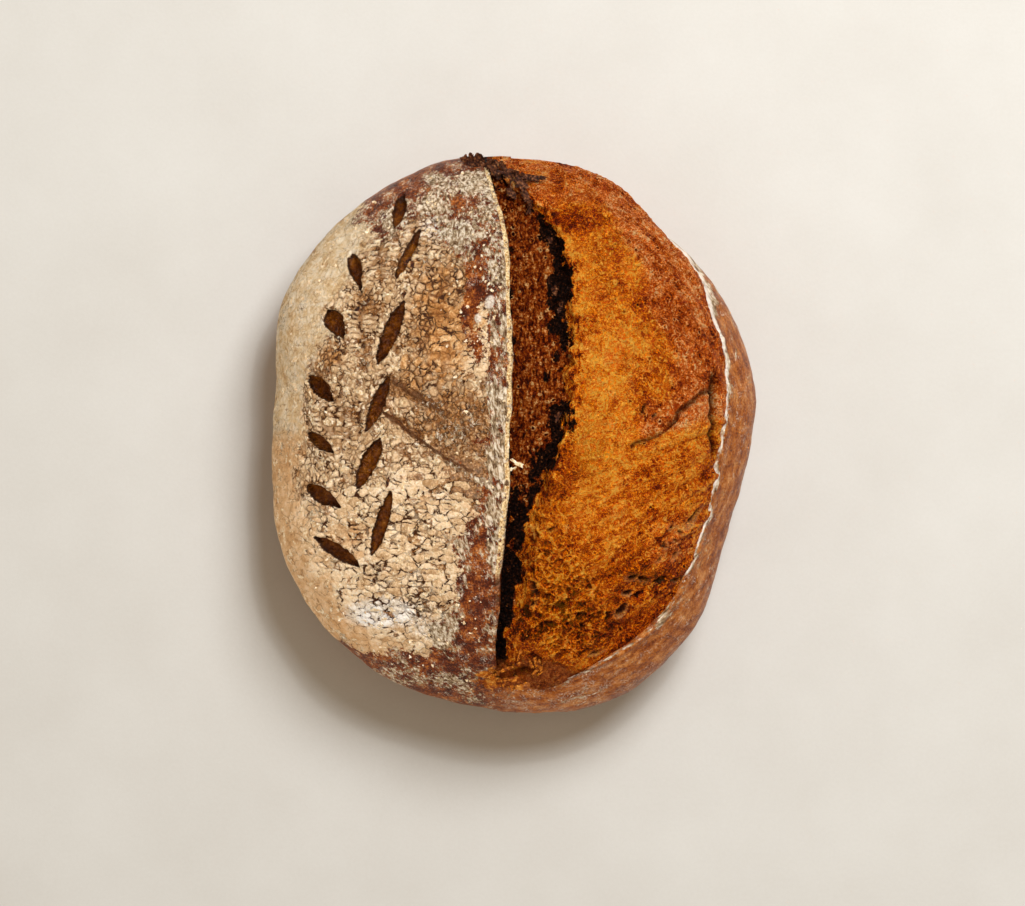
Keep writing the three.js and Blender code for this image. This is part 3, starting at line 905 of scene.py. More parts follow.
def bloom_zones(bloom):
    """Masks for the bloom's browning, char and torn texture, from 0 to 1; the char holds painted shade and
    the browning a painted shadow.
    """
    place = read_points(bloom) / MM
    x, y = place[:, 0], place[:, 1]
    at = spots(x, y)
    wall = read_mask(bloom, "wall_distance")
    rim = read_mask(bloom, "rim_distance")
    ear = read_mask(bloom, "ear_distance")
    blotch = bumps(place, 16, 11.0)
    fleck = bumps(place, 6, 13.0)

    strip = ease((1.6 + 0.8 * fleck - wall) / 3.2)
    narrow = ease((-14 - y) / 14)
    upper_char = ease((y - 30) / 14) * ease((104 - y) / 14)
    middle_char = ease((y + 20) / 8) * ease((16 - y) / 6)
    tattered = 3.4 * bumps(place, 9, 41.0) + 1.4 * bumps(place, 3.4, 42.0)
    thick = mix(2.6, 5.4, ease((88 - y) / 20))
    # The dark streak down the torn wall is partly char and partly painted shade.
    burnt_and_shaded = 1.1 * band(wall + 0.45 * thick + tattered, thick) * upper_char * ease((wall - 5) / -3)
    burnt_and_shaded += 1.1 * band(wall + 2.2 + tattered, 5.2) * middle_char
    burnt_and_shaded += 0.7 * at(15, 25, 2.2, 3.0) + 0.5 * at(18, 33, 2.5, 4)
    burnt_and_shaded += 0.2 * at(11, -14, 9, 9)
    # Painted shade: the narrow lower strip is a deep crevice and is painted as dark as char.
    burnt_and_shaded += narrow * (0.8 * strip + 0.3 * band(wall + 2.0 + tattered, 3.0))
    burnt_and_shaded += 0.34 * ease((y - 104) / 8) * ease((8 - wall) / 8)
    # Painted shade on the strip just beside the ear's lip.
    burnt_and_shaded += 0.4 * np.exp(-np.maximum(ear - 0.5, 0) / 1.4) * strip
    burnt_and_shaded *= ease((y + 104) / 8)
    browned_and_shaded = 0.27 + 0.02 * ease(1 - rim / 26) + 0.03 * ease((y - 66) / 40) + 0.12 * blotch + 0.07 * fleck
    browned_and_shaded += 0.17 * ease((-34 - y) / 50) + 0.08 * ease((x - 50) / 24) * ease((y - 10) / 20)
    browned_and_shaded += 0.2 * at(62, 6, 8, 7, 30) + 0.16 * at(72, -50, 12, 12)
    # The oval at (28, 93) is a painted shadow; the other ovals here are browning.
    browned_and_shaded += 0.2 * at(60, -61, 20, 5, -8) + 0.22 * at(28, 93, 8, 5) + 0.16 * at(44, 66, 18, 5, -40)
    browned_and_shaded += 0.2 * at(21, -18, 8, 26, -4) - 0.12 * at(29, 70, 9, 14)
    browned_and_shaded -= 0.24 * at(40, 26, 17, 44) + 0.1 * at(34, -22, 15, 24)
    browned_and_shaded -= 0.22 * at(76, 2, 9, 5, 40) + 0.12 * at(44, -52, 20, 5, 20)
    edge = band(wall - 3.5, 3.0) * (1 - strip)
    browned_and_shaded += edge * (0.12 + 0.35 * bumps(place, 5, 44.0))
    pit = at(62, -66, 14, 5, 25) + at(44, -76, 9, 6, 40) + 0.7 * at(10, -72, 5, 22, -6)
    pit += 0.55 * at(28, -78, 20, 14) + 0.55 * at(68, -50, 12, 8) + 0.4 * at(62, 8, 8, 8)
    web = 1.1 * at(24, -76, 20, 24) + 0.5 * at(16, -40, 12, 30)
    lower = ease((8 - y + 0.25 * (x - 40)) / 22)
    ruddy = ease((mix(8, 30, ease((x - 16) / 44)) + 6 * blotch - rim) / 12)
    ruddy *= ease((y + 2 + 4 * blotch) / 12)
    ruddy += 0.8 * at(62, 6, 9, 8, 30) + 0.5 * at(70, -48, 11, 12) + 0.6 * ease((y - 94) / 12)
    blistered = 0.8 * at(62, 8, 7, 7) + at(66, 46, 20, 34, 10) + 0.8 * at(70, -46, 12, 14)
    blistered += 0.6 * strip
    masks = {
        "browned_and_shaded": browned_and_shaded, "strip": strip, "char_and_shade": burnt_and_shaded, "pits": pit, "web": web, "ruddy": ruddy,
        "fan": lower * ease((x - 16) / 18), "ring": ease(1 - rim / 40) * (1 - lower),
        "blistered": blistered,
        "olive": 0.9 * at(34, -6, 8, 14) + 0.6 * at(58, -62, 9, 4) + 0.5 * web, "edge": edge,
        "blend": ease((-96 - y + 3 * fleck + 3 * blotch) / 7) * ease((46 - x) / 16),
    }
    for name, values in masks.items():
        add_mask(bloom, name, np.clip(values, 0, 1.3))

    # Grain runs in a fan out of the folded tongue below it, and along the rim above it.
    fan_turn = np.arctan2(y - FAN_HUB[1], x - FAN_HUB[0])
    reach = np.hypot(x - FAN_HUB[0], y - FAN_HUB[1])
    around = np.radians(turn_of(x, y)) * 100
    grains = {"fan_grain": (fan_turn * 110, reach), "ring_grain": (np.hypot(x, y), around)}
    for name, (across, lengthwise) in grains.items():
        add_vector(bloom, name, np.stack([across, lengthwise * 0.14, place[:, 2] * 0.3], axis=1))
    return place


def shape_bloom(bloom):
    """The bloom's folds, fan of ridges, pits, torn wall and crease, as real relief."""
    place = bloom_zones(bloom)
    x, y = place[:, 0], place[:, 1]
    at = spots(x, y)
    strip = read_mask(bloom, "strip")
    wall = read_mask(bloom, "wall_distance")
    fan = read_mask(bloom, "fan")
    ring = read_mask(bloom, "ring")
    buried = ease((place[:, 2] - 40) / 8)

    # The torn wall is ragged: its points wander sideways.
    at_wall = band(wall - 1.0, 3.5) * buried
    sideways = 1.8 * bumps(place, 6.5, 31.0) + 0.7 * bumps(place, 2.7, 32.0)
    sideways += 0.25 * bumps(place, 1.4, 33.0)
    moved = read_points(bloom)
    moved[:, 0] += at_wall * sideways * MM
    bloom.data.vertices.foreach_set("co", moved.ravel())
    bloom.data.update()

    fan_turn = np.arctan2(y - FAN_HUB[1], x - FAN_HUB[0]) * 110
    ridge = grain(fan_turn / 4.2, x / 60, 3.3)
    hoop = grain(np.hypot(x, y) / 3.4, turn_of(x, y) / 40, 7.7)
    heights = 0.5 * bumps(place, 10, 22.0) + 0.28 * bumps(place, 4.5, 23.0)
    heights *= 1 - 0.6 * strip
    heights += bumps(place, 30, 21.0)
    heights += 1.4 * fan * ridge + 0.8 * ring * hoop
    heights -= 1.4 * read_mask(bloom, "pits") * np.maximum(bumps(place, 5, 24.0), 0)
    inside, rim = hole_masks(x + 0.4 * bumps(place, 2.4, 51.0), y + 0.4 * bumps(place, 2.4, 52.0))
    heights += 0.35 * rim - HOLE_DEPTH * inside
    heights += (0.45 * strip + 0.4 * at_wall) * bumps(place, 3.0, 25.0)
    heights += 0.2 * at_wall * bumps(place, 1.6, 26.0)
    # The crease at the tongue's root, and the hollow at the tear's foot. The finish paints both near-black
    # as shade.
    crease = band(x - 88, 1.4) * ease((y + 12) / 6) * ease((30 - y) / 6)
    folded = off_path(x + 0.6 * bumps(place, 4, 53.0), y + 0.6 * bumps(place, 4, 54.0), TONGUE_CREASE)
    crease = np.maximum(crease, 0.9 * band(folded, 0.9))
    hollow = at(5, -103.4, 6, 2.3, 15)
    heights -= 2.6 * crease + 3.4 * hollow
    push(bloom, heights * buried)
    add_mask(bloom, "crease", crease)
    add_mask(bloom, "hole", inside)
    add_mask(bloom, "pale_and_lit_rim", rim)
    add_mask(bloom, "hollow", hollow)
    remember_place(bloom)


# ---------------------------------------------------------------- effects shared by relief and finish

def crackle_effect(kind):
    """Flour that dried and cracked: mm to the nearest crack, long cracks, and a value for each plate."""
    inputs = {"Place": ("Vector", None), "Ribs": ("Float", 0.0), "Plates": ("Float", 0.0)}
    outputs = {"Edge": "Float", "Long": "Float", "Value": "Float", "Fine": "Float", "Broken": "Float"}
    w, given, made = effect(kind, "crackle", inputs, outputs)
    place = given["Place"]
    bent = w.shifted(w.shifted(place, 8, 4.2), 1.7, 1.5)

    def squeezed(sideways):
        across, lengthwise, upwards = w.parts(bent)
        joined = w.node("ShaderNodeCombineXYZ")
        w.set(joined.inputs[0], w.times(across, sideways))
        w.set(joined.inputs[1], lengthwise)
        w.set(joined.inputs[2], w.times(upwards, 0.5))
        return joined.outputs[0]

    def edge_and_value(at, size, randomness):
        edge = w.cells(at, size, "DISTANCE_TO_EDGE", randomness).outputs["Distance"]
        own = w.parts(w.cells(at, size, "F1", randomness).outputs["Color"])[0]
        return w.times(edge, size), own

    def pick(share, a, b):
        return w.add(a, w.times(share, w.minus(b, a)))

    small_edge, small_value = edge_and_value(bent, 2.3, 1.0)
    big_edge, big_value = edge_and_value(bent, 3.9, 1.0)
    plate_edge, plate_value = edge_and_value(squeezed(0.58), 3.3, 1.0)
    row_edge, row_value = edge_and_value(squeezed(0.27), 2.1, 0.34)
    patch = w.swing(w.noise(place, 5, detail=2), 1.6)
    coarse = w.span(w.noise(place, 9, detail=2), 0.49, 0.53)
    in_plates = w.span(w.add(given["Plates"], patch), 0.47, 0.53)
    in_rows = w.span(w.add(given["Ribs"], patch), 0.3, 0.36)
    cobble_edge, cobble_value = pick(coarse, small_edge, big_edge), pick(coarse, small_value, big_value)
    w.set(made["Edge"], pick(in_rows, pick(in_plates, cobble_edge, plate_edge), row_edge))
    w.set(made["Value"], pick(in_rows, pick(in_plates, cobble_value, plate_value), row_value))
    swayed = w.shifted(w.shifted(place, 14, 6), 2.6, 2.8)
    wide = w.cells(swayed, 7.0, "DISTANCE_TO_EDGE").outputs["Distance"]
    broken = w.span(w.noise(place, 5, detail=2), 0.42, 0.56)
    w.set(made["Long"], w.times(w.span(wide, 0.01, 0.06, 1.0, 0.0), broken))
    fine = w.cells(w.shifted(place, 1.2, 0.9), 1.2, "DISTANCE_TO_EDGE").outputs["Distance"]
    w.set(made["Fine"], w.span(fine, 0.02, 0.14, 1.0, 0.0))
    w.set(made["Broken"], w.span(w.noise(place, 3.6, detail=3, roughness=0.6), 0.42, 0.56))
    return w.tree


def curls_effect(kind):
    """Curled strands of torn crumb: lines along the levels of a bent noise, and pockets between."""
    inputs = {"Place": ("Vector", None), "Size": ("Float", 1.0), "Offset": ("Vector", None)}
    outputs = {"Strands": "Float", "Pockets": "Float"}
    w, given, made = effect(kind, "crumb_curls", inputs, outputs)
    moved = w.vector("ADD", given["Place"], given["Offset"])
    scaled = w.vector("SCALE", moved, scale=w.math("DIVIDE", 1.0, given["Size"]))
    bent = w.shifted(w.shifted(scaled, 3.4, 4.0), 1.2, 1.2)
    field = w.noise(bent, 2.4, detail=1.0, roughness=0.4)
    levels = w.math("SINE", w.times(field, 24.0))
    w.set(made["Strands"], w.span(levels, 0.6, 1.0))
    w.set(made["Pockets"], w.span(w.noise(bent, 2.6, detail=2), 0.47, 0.33))
    return w.tree


def filaments_effect(kind):
    """Thin curly threads, one or two tenths of a size wide."""
    inputs = {"Place": ("Vector", None), "Size": ("Float", 1.0)}
    w, given, made = effect(kind, "filaments", inputs, {"Line": "Float"})
    scaled = w.vector("SCALE", given["Place"], scale=w.math("DIVIDE", 1.0, given["Size"]))
    field = w.noise(w.shifted(scaled, 1.9, 2.0), 1.1, detail=1.5, roughness=0.5)
    off_level = w.math("ABSOLUTE", w.minus(field, 0.5))
    w.set(made["Line"], w.span(off_level, 0.0, 0.055, 1.0, 0.0))
    return w.tree


def web_effect(kind):
    """Big open cells of crumb: thin walls standing between hollows."""
    outputs = {"Wall": "Float", "Value": "Float"}
    w, given, made = effect(kind, "crumb_web", {"Place": ("Vector", None)}, outputs)
    bent = w.shifted(w.shifted(given["Place"], 6, 4.0), 2.0, 2.0)
    edge = w.cells(bent, 4.4, "DISTANCE_TO_EDGE").outputs["Distance"]
    w.set(made["Wall"], w.span(edge, 0.03, 0.16, 1.0, 0.0))
    w.set(made["Value"], w.parts(w.cells(bent, 4.4).outputs["Color"])[0])
    return w.tree


def bubbles_effect(kind):
    """Scattered burst bubbles: a raised rim round a small hole that the finishes paint darker as shade, and
    pale dots that are partly specks and partly painted glints.
    """
    inputs = {"Place": ("Vector", None), "Share": ("Float", 0.3)}
    outputs = {"Rim": "Float", "Hole": "Float", "Dot": "Float"}
    w, given, made = effect(kind, "burst_bubbles", inputs, outputs)
    cells = w.cells(w.shifted(given["Place"], 2.6, 1.6), 3.0)
    chance, bigness, openness = w.parts(cells.outputs["Color"])
    far = cells.outputs["Distance"]
    radius = w.scaled(bigness, 0.22, 0.14)
    present = w.math("LESS_THAN", chance, given["Share"])
    off_rim = w.math("ABSOLUTE", w.minus(far, radius))
    rim = w.span(off_rim, 0.03, 0.12, 1.0, 0.0)
    hole = w.span(w.minus(far, radius), -0.14, -0.04, 1.0, 0.0)
    hole = w.times(hole, w.math("GREATER_THAN", openness, 0.45))
    w.set(made["Rim"], w.times(present, rim))
    w.set(made["Hole"], w.times(present, hole))
    specks = w.cells(w.shifted(given["Place"], 1.5, 0.8), 1.5)
    near = w.span(specks.outputs["Distance"], 0.14, 0.32, 1.0, 0.0)
    w.set(made["Dot"], w.times(near, w.span(w.parts(specks.outputs["Color"])[0], 0.72, 0.8)))
    return w.tree


def wisps_effect(kind):
    """Dry flour wiped into wisps and grains. Amount sets how much of it lies there."""
    inputs = {"Place": ("Vector", None), "Wiped": ("Vector", None)}
    inputs.update({"Amount": ("Float", 0.5), "Streaks": ("Float", 0.0)})
    outputs = {"Cover": "Float"}
    w, given, made = effect(kind, "flour_wisps", inputs, outputs)
    place = given["Place"]
    wiped = w.noise(w.shifted(given["Wiped"], 4, 3.6), 1.6, detail=3, roughness=0.6)
    round_grain = w.noise(w.shifted(place, 3, 3.0), 1.6, detail=4, roughness=0.65)
    gap = w.minus(wiped, round_grain)
    grain = w.add(round_grain, w.times(gap, w.span(given["Streaks"], 0.1, 0.7)))
    patchy = w.swing(w.noise(place, 6, detail=2), 0.5)
    ridged = w.math("ABSOLUTE", w.minus(w.noise(w.shifted(place, 2.6, 3.4), 1.5, detail=2), 0.5))
    thread = w.span(ridged, 0.0, 0.035, 0.14, 0.0)
    level = w.add(w.scaled(given["Amount"], 0.5, -0.5), w.add(grain, thread))
    level = w.add(level, w.times(patchy, w.span(given["Amount"], 1.1, 0.7)))
    w.set(made["Cover"], w.times(w.span(level, 0.25, 0.35), w.span(given["Amount"], 0.03, 0.2)))
    return w.tree


SHADER = "ShaderNodeTree"
RELIEF = "GeometryNodeTree"


def relief_modifier(piece, name, wire):
    """Moves the piece's points along their normals by what wire works out, in mm, for good."""
    tree = bpy.data.node_groups.new(name, RELIEF)
    tree.interface.new_socket("Geometry", in_out="INPUT", socket_type="NodeSocketGeometry")
    tree.interface.new_socket("Geometry", in_out="OUTPUT", socket_type="NodeSocketGeometry")
    w = Wiring(tree)
    start, end = w.node("NodeGroupInput"), w.node("NodeGroupOutput")
    height = wire(w)
    normal = w.node("GeometryNodeInputNormal").outputs[0]
    move = w.node("GeometryNodeSetPosition")
    w.set(move.inputs["Geometry"], start.outputs[0])
    w.set(move.inputs["Offset"], w.vector("SCALE", normal, scale=w.times(height, MM)))
    w.set(end.inputs[0], move.outputs[0])
    modifier = piece.modifiers.new(name, "NODES")
    modifier.node_group = tree
    bpy.ops.object.select_all(action="DESELECT")
    piece.select_set(True)
    bpy.context.view_layer.objects.active = piece
    bpy.ops.object.modifier_apply(modifier=modifier.name)


def relieve_skin(skin, crackle):
    def wire(w):
        out = use(w, crackle, place=w.place(), ribs=w.mask("ribs"), plates=w.mask("plates"))
        calm = w.most(w.mask("flank"), w.times(w.mask("faint"), 0.95))
        floured = w.times(w.mask("flour"), w.minus(1.0, calm))
        outside = w.span(w.mask("slash"), -0.6, 0.0, 1.0, 0.0)
        depth = w.scaled(w.mask("plates"), -0.3, 0.55)
        dome = w.times(w.span(out["Edge"], 0.0, 1.0), depth)
        plate = w.times(floured, outside, dome)
        long = w.times(out["Long"], w.mask("gaps"), -0.35)
        grain = w.noise(w.place(), 1.8, detail=3)
        rough = w.times(w.minus(grain, 0.5), 0.3)
        relief = w.add(plate, w.times(long, floured), rough)
        return w.times(relief, w.span(w.parts(w.place())[2], 2.0, 9.0))
    relief_modifier(skin, "skin_relief", wire)


def relieve_bloom(bloom, curls, bubbles, web):
    def wire(w):
        coarse = use(w, curls, place=w.place(), size=2.3)
        burst = use(w, bubbles, place=w.place(), share=w.scaled(w.mask("blistered"), 0.5, 0.07))
        cells = use(w, web, place=w.place())
        in_web = w.span(w.mask("web"), 0.3, 0.7)
        crumb = w.add(w.times(coarse["Strands"], 0.3), w.times(in_web, cells["Wall"], 0.8))
        pockets = w.times(coarse["Pockets"], w.scaled(w.mask("pits"), -1.2, -0.25))
        burst_height = w.scaled(burst["Hole"], -0.35, w.times(burst["Rim"], 0.15))
        grain = w.noise(w.place(), 2.4, detail=4, roughness=0.6)
        lumps = w.times(w.minus(grain, 0.5), w.scaled(w.mask("strip"), 0.9, 0.7))
        return w.add(w.add(crumb, pockets), w.add(lumps, burst_height))
    relief_modifier(bloom, "bloom_relief", wire)


# ---------------------------------------------------------------- flakes, chips and crumbs

def flake(x, y, z, length, width, thickness, turn, tilt, seed):
    """A closed, jagged flake: a flattened ball with its outline torn and its sheet bent."""
    bpy.ops.object.select_all(action="DESELECT")
    bpy.ops.mesh.primitive_uv_sphere_add(segments=26, ring_count=9, radius=1)
    piece = bpy.context.object
    points = read_points(piece)
    around = np.arctan2(points[:, 1], points[:, 0])

    def ragged(fineness):
        ring = [(fineness * math.cos(a), fineness * math.sin(a), seed) for a in around]
        return np.array([noise.noise(point) for point in ring])

    torn = ragged(1.6) + 0.4 * ragged(5)
    reach = 1 + 0.9 * torn
    flat = np.stack([
        points[:, 0] * reach * length / 2,
        points[:, 1] * reach * width / 2,
        points[:, 2] * thickness / 2,
    ], axis=1)
    flat[:, 2] += 0.16 * length * (flat[:, 0] / length) ** 2 * 4 + 0.3 * bumps(flat, 2.4, seed)
    frame_turn = Matrix.Rotation(math.radians(turn), 3, "Z") @ Matrix.Rotation(math.radians(-tilt), 3, "Y")
    placed = flat @ np.array(frame_turn).T + np.array([x, y, z])
    piece.data.vertices.foreach_set("co", (placed * MM).ravel())
    piece.data.update()
    while piece.data.uv_layers:
        piece.data.uv_layers.remove(piece.data.uv_layers[0])
    return piece


def crust_height(pieces):
    """A function for the height in mm of the finished crust at each x and y."""
    scene_state = bpy.context.evaluated_depsgraph_get()
    trees = [BVHTree.FromObject(piece, scene_state) for piece in pieces]

    def height(x, y):
        found = []
        for across, ahead in zip(x, y):
            above = Vector((across, ahead, ABOVE)) * MM
            hits = [tree.ray_cast(above, DOWN)[0] for tree in trees]
            found.append(max([hit.z / MM for hit in hits if hit], default=WIDEST_HEIGHT))
        return np.array(found)

    return height


def flakes(name, places, height, material):
    """One piece of many flakes. Places: x, y, lift, length, width, thickness, turn, tilt."""
    made = []
    for number, (x, y, lift, length, width, thickness, turn, tilt) in enumerate(places):
        z = float(height(np.array([float(x)]), np.array([float(y)]))[0]) + lift
        made.append(flake(x, y, z, length, width, thickness, turn, tilt, 3.7 * number + 1.3))
    bpy.ops.object.select_all(action="DESELECT")
    for piece in made:
        piece.select_set(True)
    bpy.context.view_layer.objects.active = made[0]
    bpy.ops.object.join()
    whole = bpy.context.object
    whole.name = name
    whole.data.name = name
    bpy.ops.object.shade_smooth()
    remember_place(whole)
    whole.data.materials.append(material)
    return whole


def scattered(count, seed, low, high, keep):
    """Random small blobs within a box, kept where keep(x, y) says so."""
    rng = np.random.default_rng(seed)
    found = []
    while len(found) < count:
        x, y = rng.uniform(low[0], high[0]), rng.uniform(low[1], high[1])
        if rng.uniform() > keep(x, y):
            continue
        size = 0.5 + 1.1 * rng.uniform() ** 2
        width, turn = size * rng.uniform(0.6, 1), rng.uniform(0, 360)
        found.append((x, y, 0.15 * size, size, width, 0.6 * size, turn, 0))
    return found


def flour_falls(x, y):
    """Where loose flour lies: by the ear, near the top edge and on the lower brown crust."""
    x, y = np.array([x]), np.array([y])
    off_crust = skin_share(x, y)[0] > 0.97 or x[0] > along(EAR_X, y)[0] - 2
    if off_crust or slash_distance(x, y)[0] > -1:
        return 0.0
    at = spots(x, y)
    likely = 0.5 * at(-12, 60, 9, 46) + 0.5 * at(-34, 104, 24, 10, 24) + 0.3 * at(-30, -96, 30, 10)
    return float((likely + 0.4 * at(-16, -66, 9, 26) + 0.12)[0])


def speckled_material(name, grain, stops, roughness, specular, relief):
    """A dry crumbly finish whose colour and bump follow one fine noise."""
    material, w, shader = new_material(name)
    fine = w.noise(w.place(), grain, detail=4, roughness=0.65)
    w.set(shader.inputs["Base Color"], w.ramp(fine, stops))
    w.set(shader.inputs["Roughness"], roughness)
    w.set(shader.inputs["Specular IOR Level"], specular)
    w.set(shader.inputs["Normal"], bump(w, fine, relief))
    return material


def make_details(skin, bloom):
    char_stops = [(0.34, "#140602"), (0.48, "#3a180a"), (0.6, "#6e3e20"), (0.74, "#b0845e")]
    crumb_stops = [(0.36, "#461800"), (0.48, "#8c4406"), (0.6, "#c4741c"), (0.74, "#e6a858")]
    flour_stops = [(0.34, "#b89468"), (0.5, "#ecd4ac"), (0.64, "#fdf4e4")]
    charred = speckled_material("charred_flake", 1.2, char_stops, 0.55, 0.2, 0.6)
    crumb = speckled_material("torn_crumb", 1.4, crumb_stops, 0.6, 0.15, 0.6)
    flour = speckled_material("dry_flour", 1.3, flour_stops, 0.95, 0.1, 0.4)
    crust = crust_height([skin, bloom])
    lumps = scattered(LOOSE_LUMPS, 7, (-92, -112), (4, 116), flour_falls)
    return [
        flakes("burnt_flakes", BURNT_FLAKES, lambda x, y: np.maximum(crust(x, y), CREST_LOW), charred),
        flakes("torn_crumbs", TORN_CRUMBS, lambda x, y: dome_top(x, y) - 0.8, crumb),
        flakes("ear_chips", EAR_CHIPS, lambda x, y: skin_top(np.minimum(x, -1), y), flour),
        flakes("loose_flour", lumps, crust, flour),
    ]


# ---------------------------------------------------------------- finishes

def new_material(name):
    material = bpy.data.materials.new(name)
    material.use_nodes = True
    w = Wiring(material.node_tree)
    shader = material.node_tree.nodes["Principled BSDF"]
    return material, w, shader


def bump(w, height, distance, strength=1.0):
    made = w.node("ShaderNodeBump")
    w.set(made.inputs["Height"], height)
    made.inputs["Distance"].default_value = distance * MM
    made.inputs["Strength"].default_value = strength
    return made.outputs[0]


def grey(value):
    return (value, value, value, 1.0)


def skin_material(crackle, curls, bubbles, wisps, filaments):
    material, w, shader = new_material("floured_crust")
    place = w.place()
    out = use(w, crackle, place=place, ribs=w.mask("ribs"), plates=w.mask("plates"))
    fine = w.noise(place, 0.9, detail=3, roughness=0.6)
    speck = w.noise(place, 1.7, detail=4, roughness=0.65)
    broad = w.noise(place, 6, detail=4, roughness=0.6)
    blisters = use(w, bubbles, place=place, share=0.3)

    # Bare crust, from dark red-brown to toffee, with small pale blisters, and pale dots that are partly
    # specks and partly painted glints.
    even = w.scaled(w.mask("skirt"), -0.55, 1.0)
    uneven = w.times(even, w.add(w.swing(broad, 1.1), w.swing(fine, 0.9)))
    bare_tone = w.add(0.5, uneven, w.times(blisters["Dot"], 0.14), w.times(w.mask("skirt"), 0.1))
    bare = w.ramp(bare_tone, [
        (0.3, "#3c1200"), (0.45, "#642606"), (0.58, "#904a18"),
        (0.72, "#ba7030"), (0.9, "#e2ac72"),
    ])
    along_rim = w.noise(w.kept("wiped_place"), 2.0, detail=4)
    toffee_tone = w.add(0.555, w.swing(along_rim, 0.6), w.swing(broad, 0.4), w.swing(fine, 0.55))
    toffee = w.ramp(toffee_tone, [
        (0.3, "#4c1a00"), (0.45, "#7e3a06"), (0.58, "#a85f20"),
        (0.72, "#c6864a"), (0.9, "#eebf90"),
    ])
    bare = w.mix(w.mask("skirt"), bare, toffee)

    # Flour plates: cream, tan where they browned, each with a shade of its own.
    tone = w.add(w.scaled(out["Value"], 0.34, 0.33), w.swing(fine, 0.9), w.swing(broad, 1.0))
    cream = w.ramp(tone, [(0.2, "#b48e64"), (0.42, "#dfbe96"), (0.62, "#f4dcba"), (0.8, "#fdf2e0")])
    tan = w.ramp(tone, [(0.2, "#7d4a1e"), (0.42, "#b07840"), (0.62, "#d6a46e"), (0.85, "#f2d4a8")])
    peach = w.ramp(tone, [(0.2, "#b07c4a"), (0.5, "#dcae7e"), (0.8, "#f4d8b4")])
    white = w.ramp(tone, [(0.2, "#d8c8b2"), (0.45, "#faf1e6"), (0.7, "#ffffff")])
    plates = w.mix(w.span(w.add(w.mask("warm"), w.swing(broad, 1.6)), 0.25, 0.8), cream, peach)
    toasted = w.add(w.mask("toast"), w.add(w.swing(out["Value"], 0.7), w.swing(broad, 1.2)))
    plates = w.mix(w.span(toasted, 0.2, 0.7), plates, tan)
    plates = w.mix(w.span(w.add(w.mask("white"), w.swing(speck, 1.4)), 0.2, 0.8), plates, white)
    flank_tone = w.add(0.5, w.swing(broad, 0.9), w.swing(speck, 0.6))
    smooth_flank = w.ramp(flank_tone, [
        (0.26, "#b08a5c"), (0.42, "#cdb188"), (0.56, "#dccbae"), (0.74, "#e9dfce"),
    ])
    blushed = w.ramp(flank_tone, [(0.26, "#b0804e"), (0.5, "#d4a878"), (0.74, "#ecd0ac")])
    smooth_flank = w.mix(w.span(w.mask("faint"), 0.1, 0.6), smooth_flank, blushed)
    film = w.most(w.mask("flank"), w.times(w.mask("faint"), 0.75))
    film = w.times(film, w.span(w.mask("white"), 0.4, 1.0, 1.0, 0.2))
    film = w.span(w.add(film, w.swing(speck, 1.2)), 0.2, 0.8)

    # Cracks: painted shade in the soft valleys between cobbles, dark broken lines, wide where the flour
    # pulled apart.
    in_plates = w.span(w.mask("plates"), 0.3, 0.6)
    depth = w.span(broad, 0.36, 0.6, 0.25, 1.0)
    valley_shade = w.times(w.span(out["Edge"], 0.05, 0.75, 1.0, 0.0), w.scaled(in_plates, -0.8, 0.9))
    deeper = w.most(w.mask("toast"), w.mask("ribs"))
    valley_shade = w.math("MULTIPLY", valley_shade, w.most(depth, w.times(deeper, 0.9)), clamp=True)
    width = w.times(w.mask("gaps"), 0.3, w.span(broad, 0.36, 0.62, 0.1, 1.7))
    crack = w.span(w.minus(out["Edge"], width), -0.02, 0.15, 1.0, 0.0)
    lasting = w.most(out["Broken"], w.span(w.mask("gaps"), 0.4, 1.0, 0.1, 1.0))
    crack = w.times(crack, lasting, w.scaled(film, -0.8, 1.0))
    long = w.times(out["Long"], w.span(w.mask("gaps"), 0.4, 0.8))
    crack = w.most(crack, w.times(long, w.minus(1.0, film)))
    hair = w.times(w.times(out["Fine"], out["Broken"]), 0.3)
    shaded = w.mix(valley_shade, plates, w.mix(w.span(w.mask("toast"), 0.2, 0.8), "#8a5e32", "#60300c"))
    shaded = w.mix(hair, shaded, "#8f6231")
    floured = w.mix(crack, shaded, "#3c1e0a")
    floured = w.mix(w.times(film, 0.8), floured, smooth_flank)
    fine_line = w.times(w.times(w.span(out["Edge"], 0.0, 0.16, 1.0, 0.0), out["Broken"]), film)
    floured = w.mix(w.times(fine_line, 0.75), floured, "#8a6236")

    # Thick lumps of flour sit over the cracks, and plates are missing where the flour is thin.
    lumps = w.noise(w.shifted(place, 4, 3.0), 3.4, detail=3, roughness=0.55)
    lumps = w.times(w.span(lumps, 0.585, 0.63), w.minus(1.0, w.span(w.mask("toast"), 0.2, 0.8)))
    floured = w.mix(w.times(lumps, 0.9), floured, w.ramp(fine, [
        (0.36, "#d9b483"), (0.52, "#f2d9b2"), (0.66, "#fdf2de"),
    ]))
    worn = w.add(w.times(w.mask("thin"), 0.9), w.swing(out["Value"], 0.7))
    missing = w.span(w.add(worn, w.add(w.swing(broad, 2.0), w.swing(speck, 1.0))), 0.42, 0.56)
    missing = w.times(missing, w.minus(1.0, film))
    worn_tone = w.add(0.5, w.swing(speck, 1.3), w.swing(fine, 0.9))
    worn_crust = w.ramp(worn_tone, [
        (0.28, "#3e1e08"), (0.46, "#70421c"), (0.62, "#a3703e"), (0.82, "#e2bd90"),
    ])
    floured = w.mix(w.times(missing, 0.85), floured, worn_crust)
    seam = w.span(w.add(w.mask("seam"), w.swing(speck, 1.6)), 0.3, 0.7)
    floured = w.mix(w.times(seam, 0.85), floured, "#4c2810")
    patchy = w.add(w.swing(speck, 2.0), w.swing(broad, 1.4))
    cover = w.span(w.add(w.mask("flour"), patchy), 0.36, 0.52)
    colour = w.mix(cover, bare, floured)

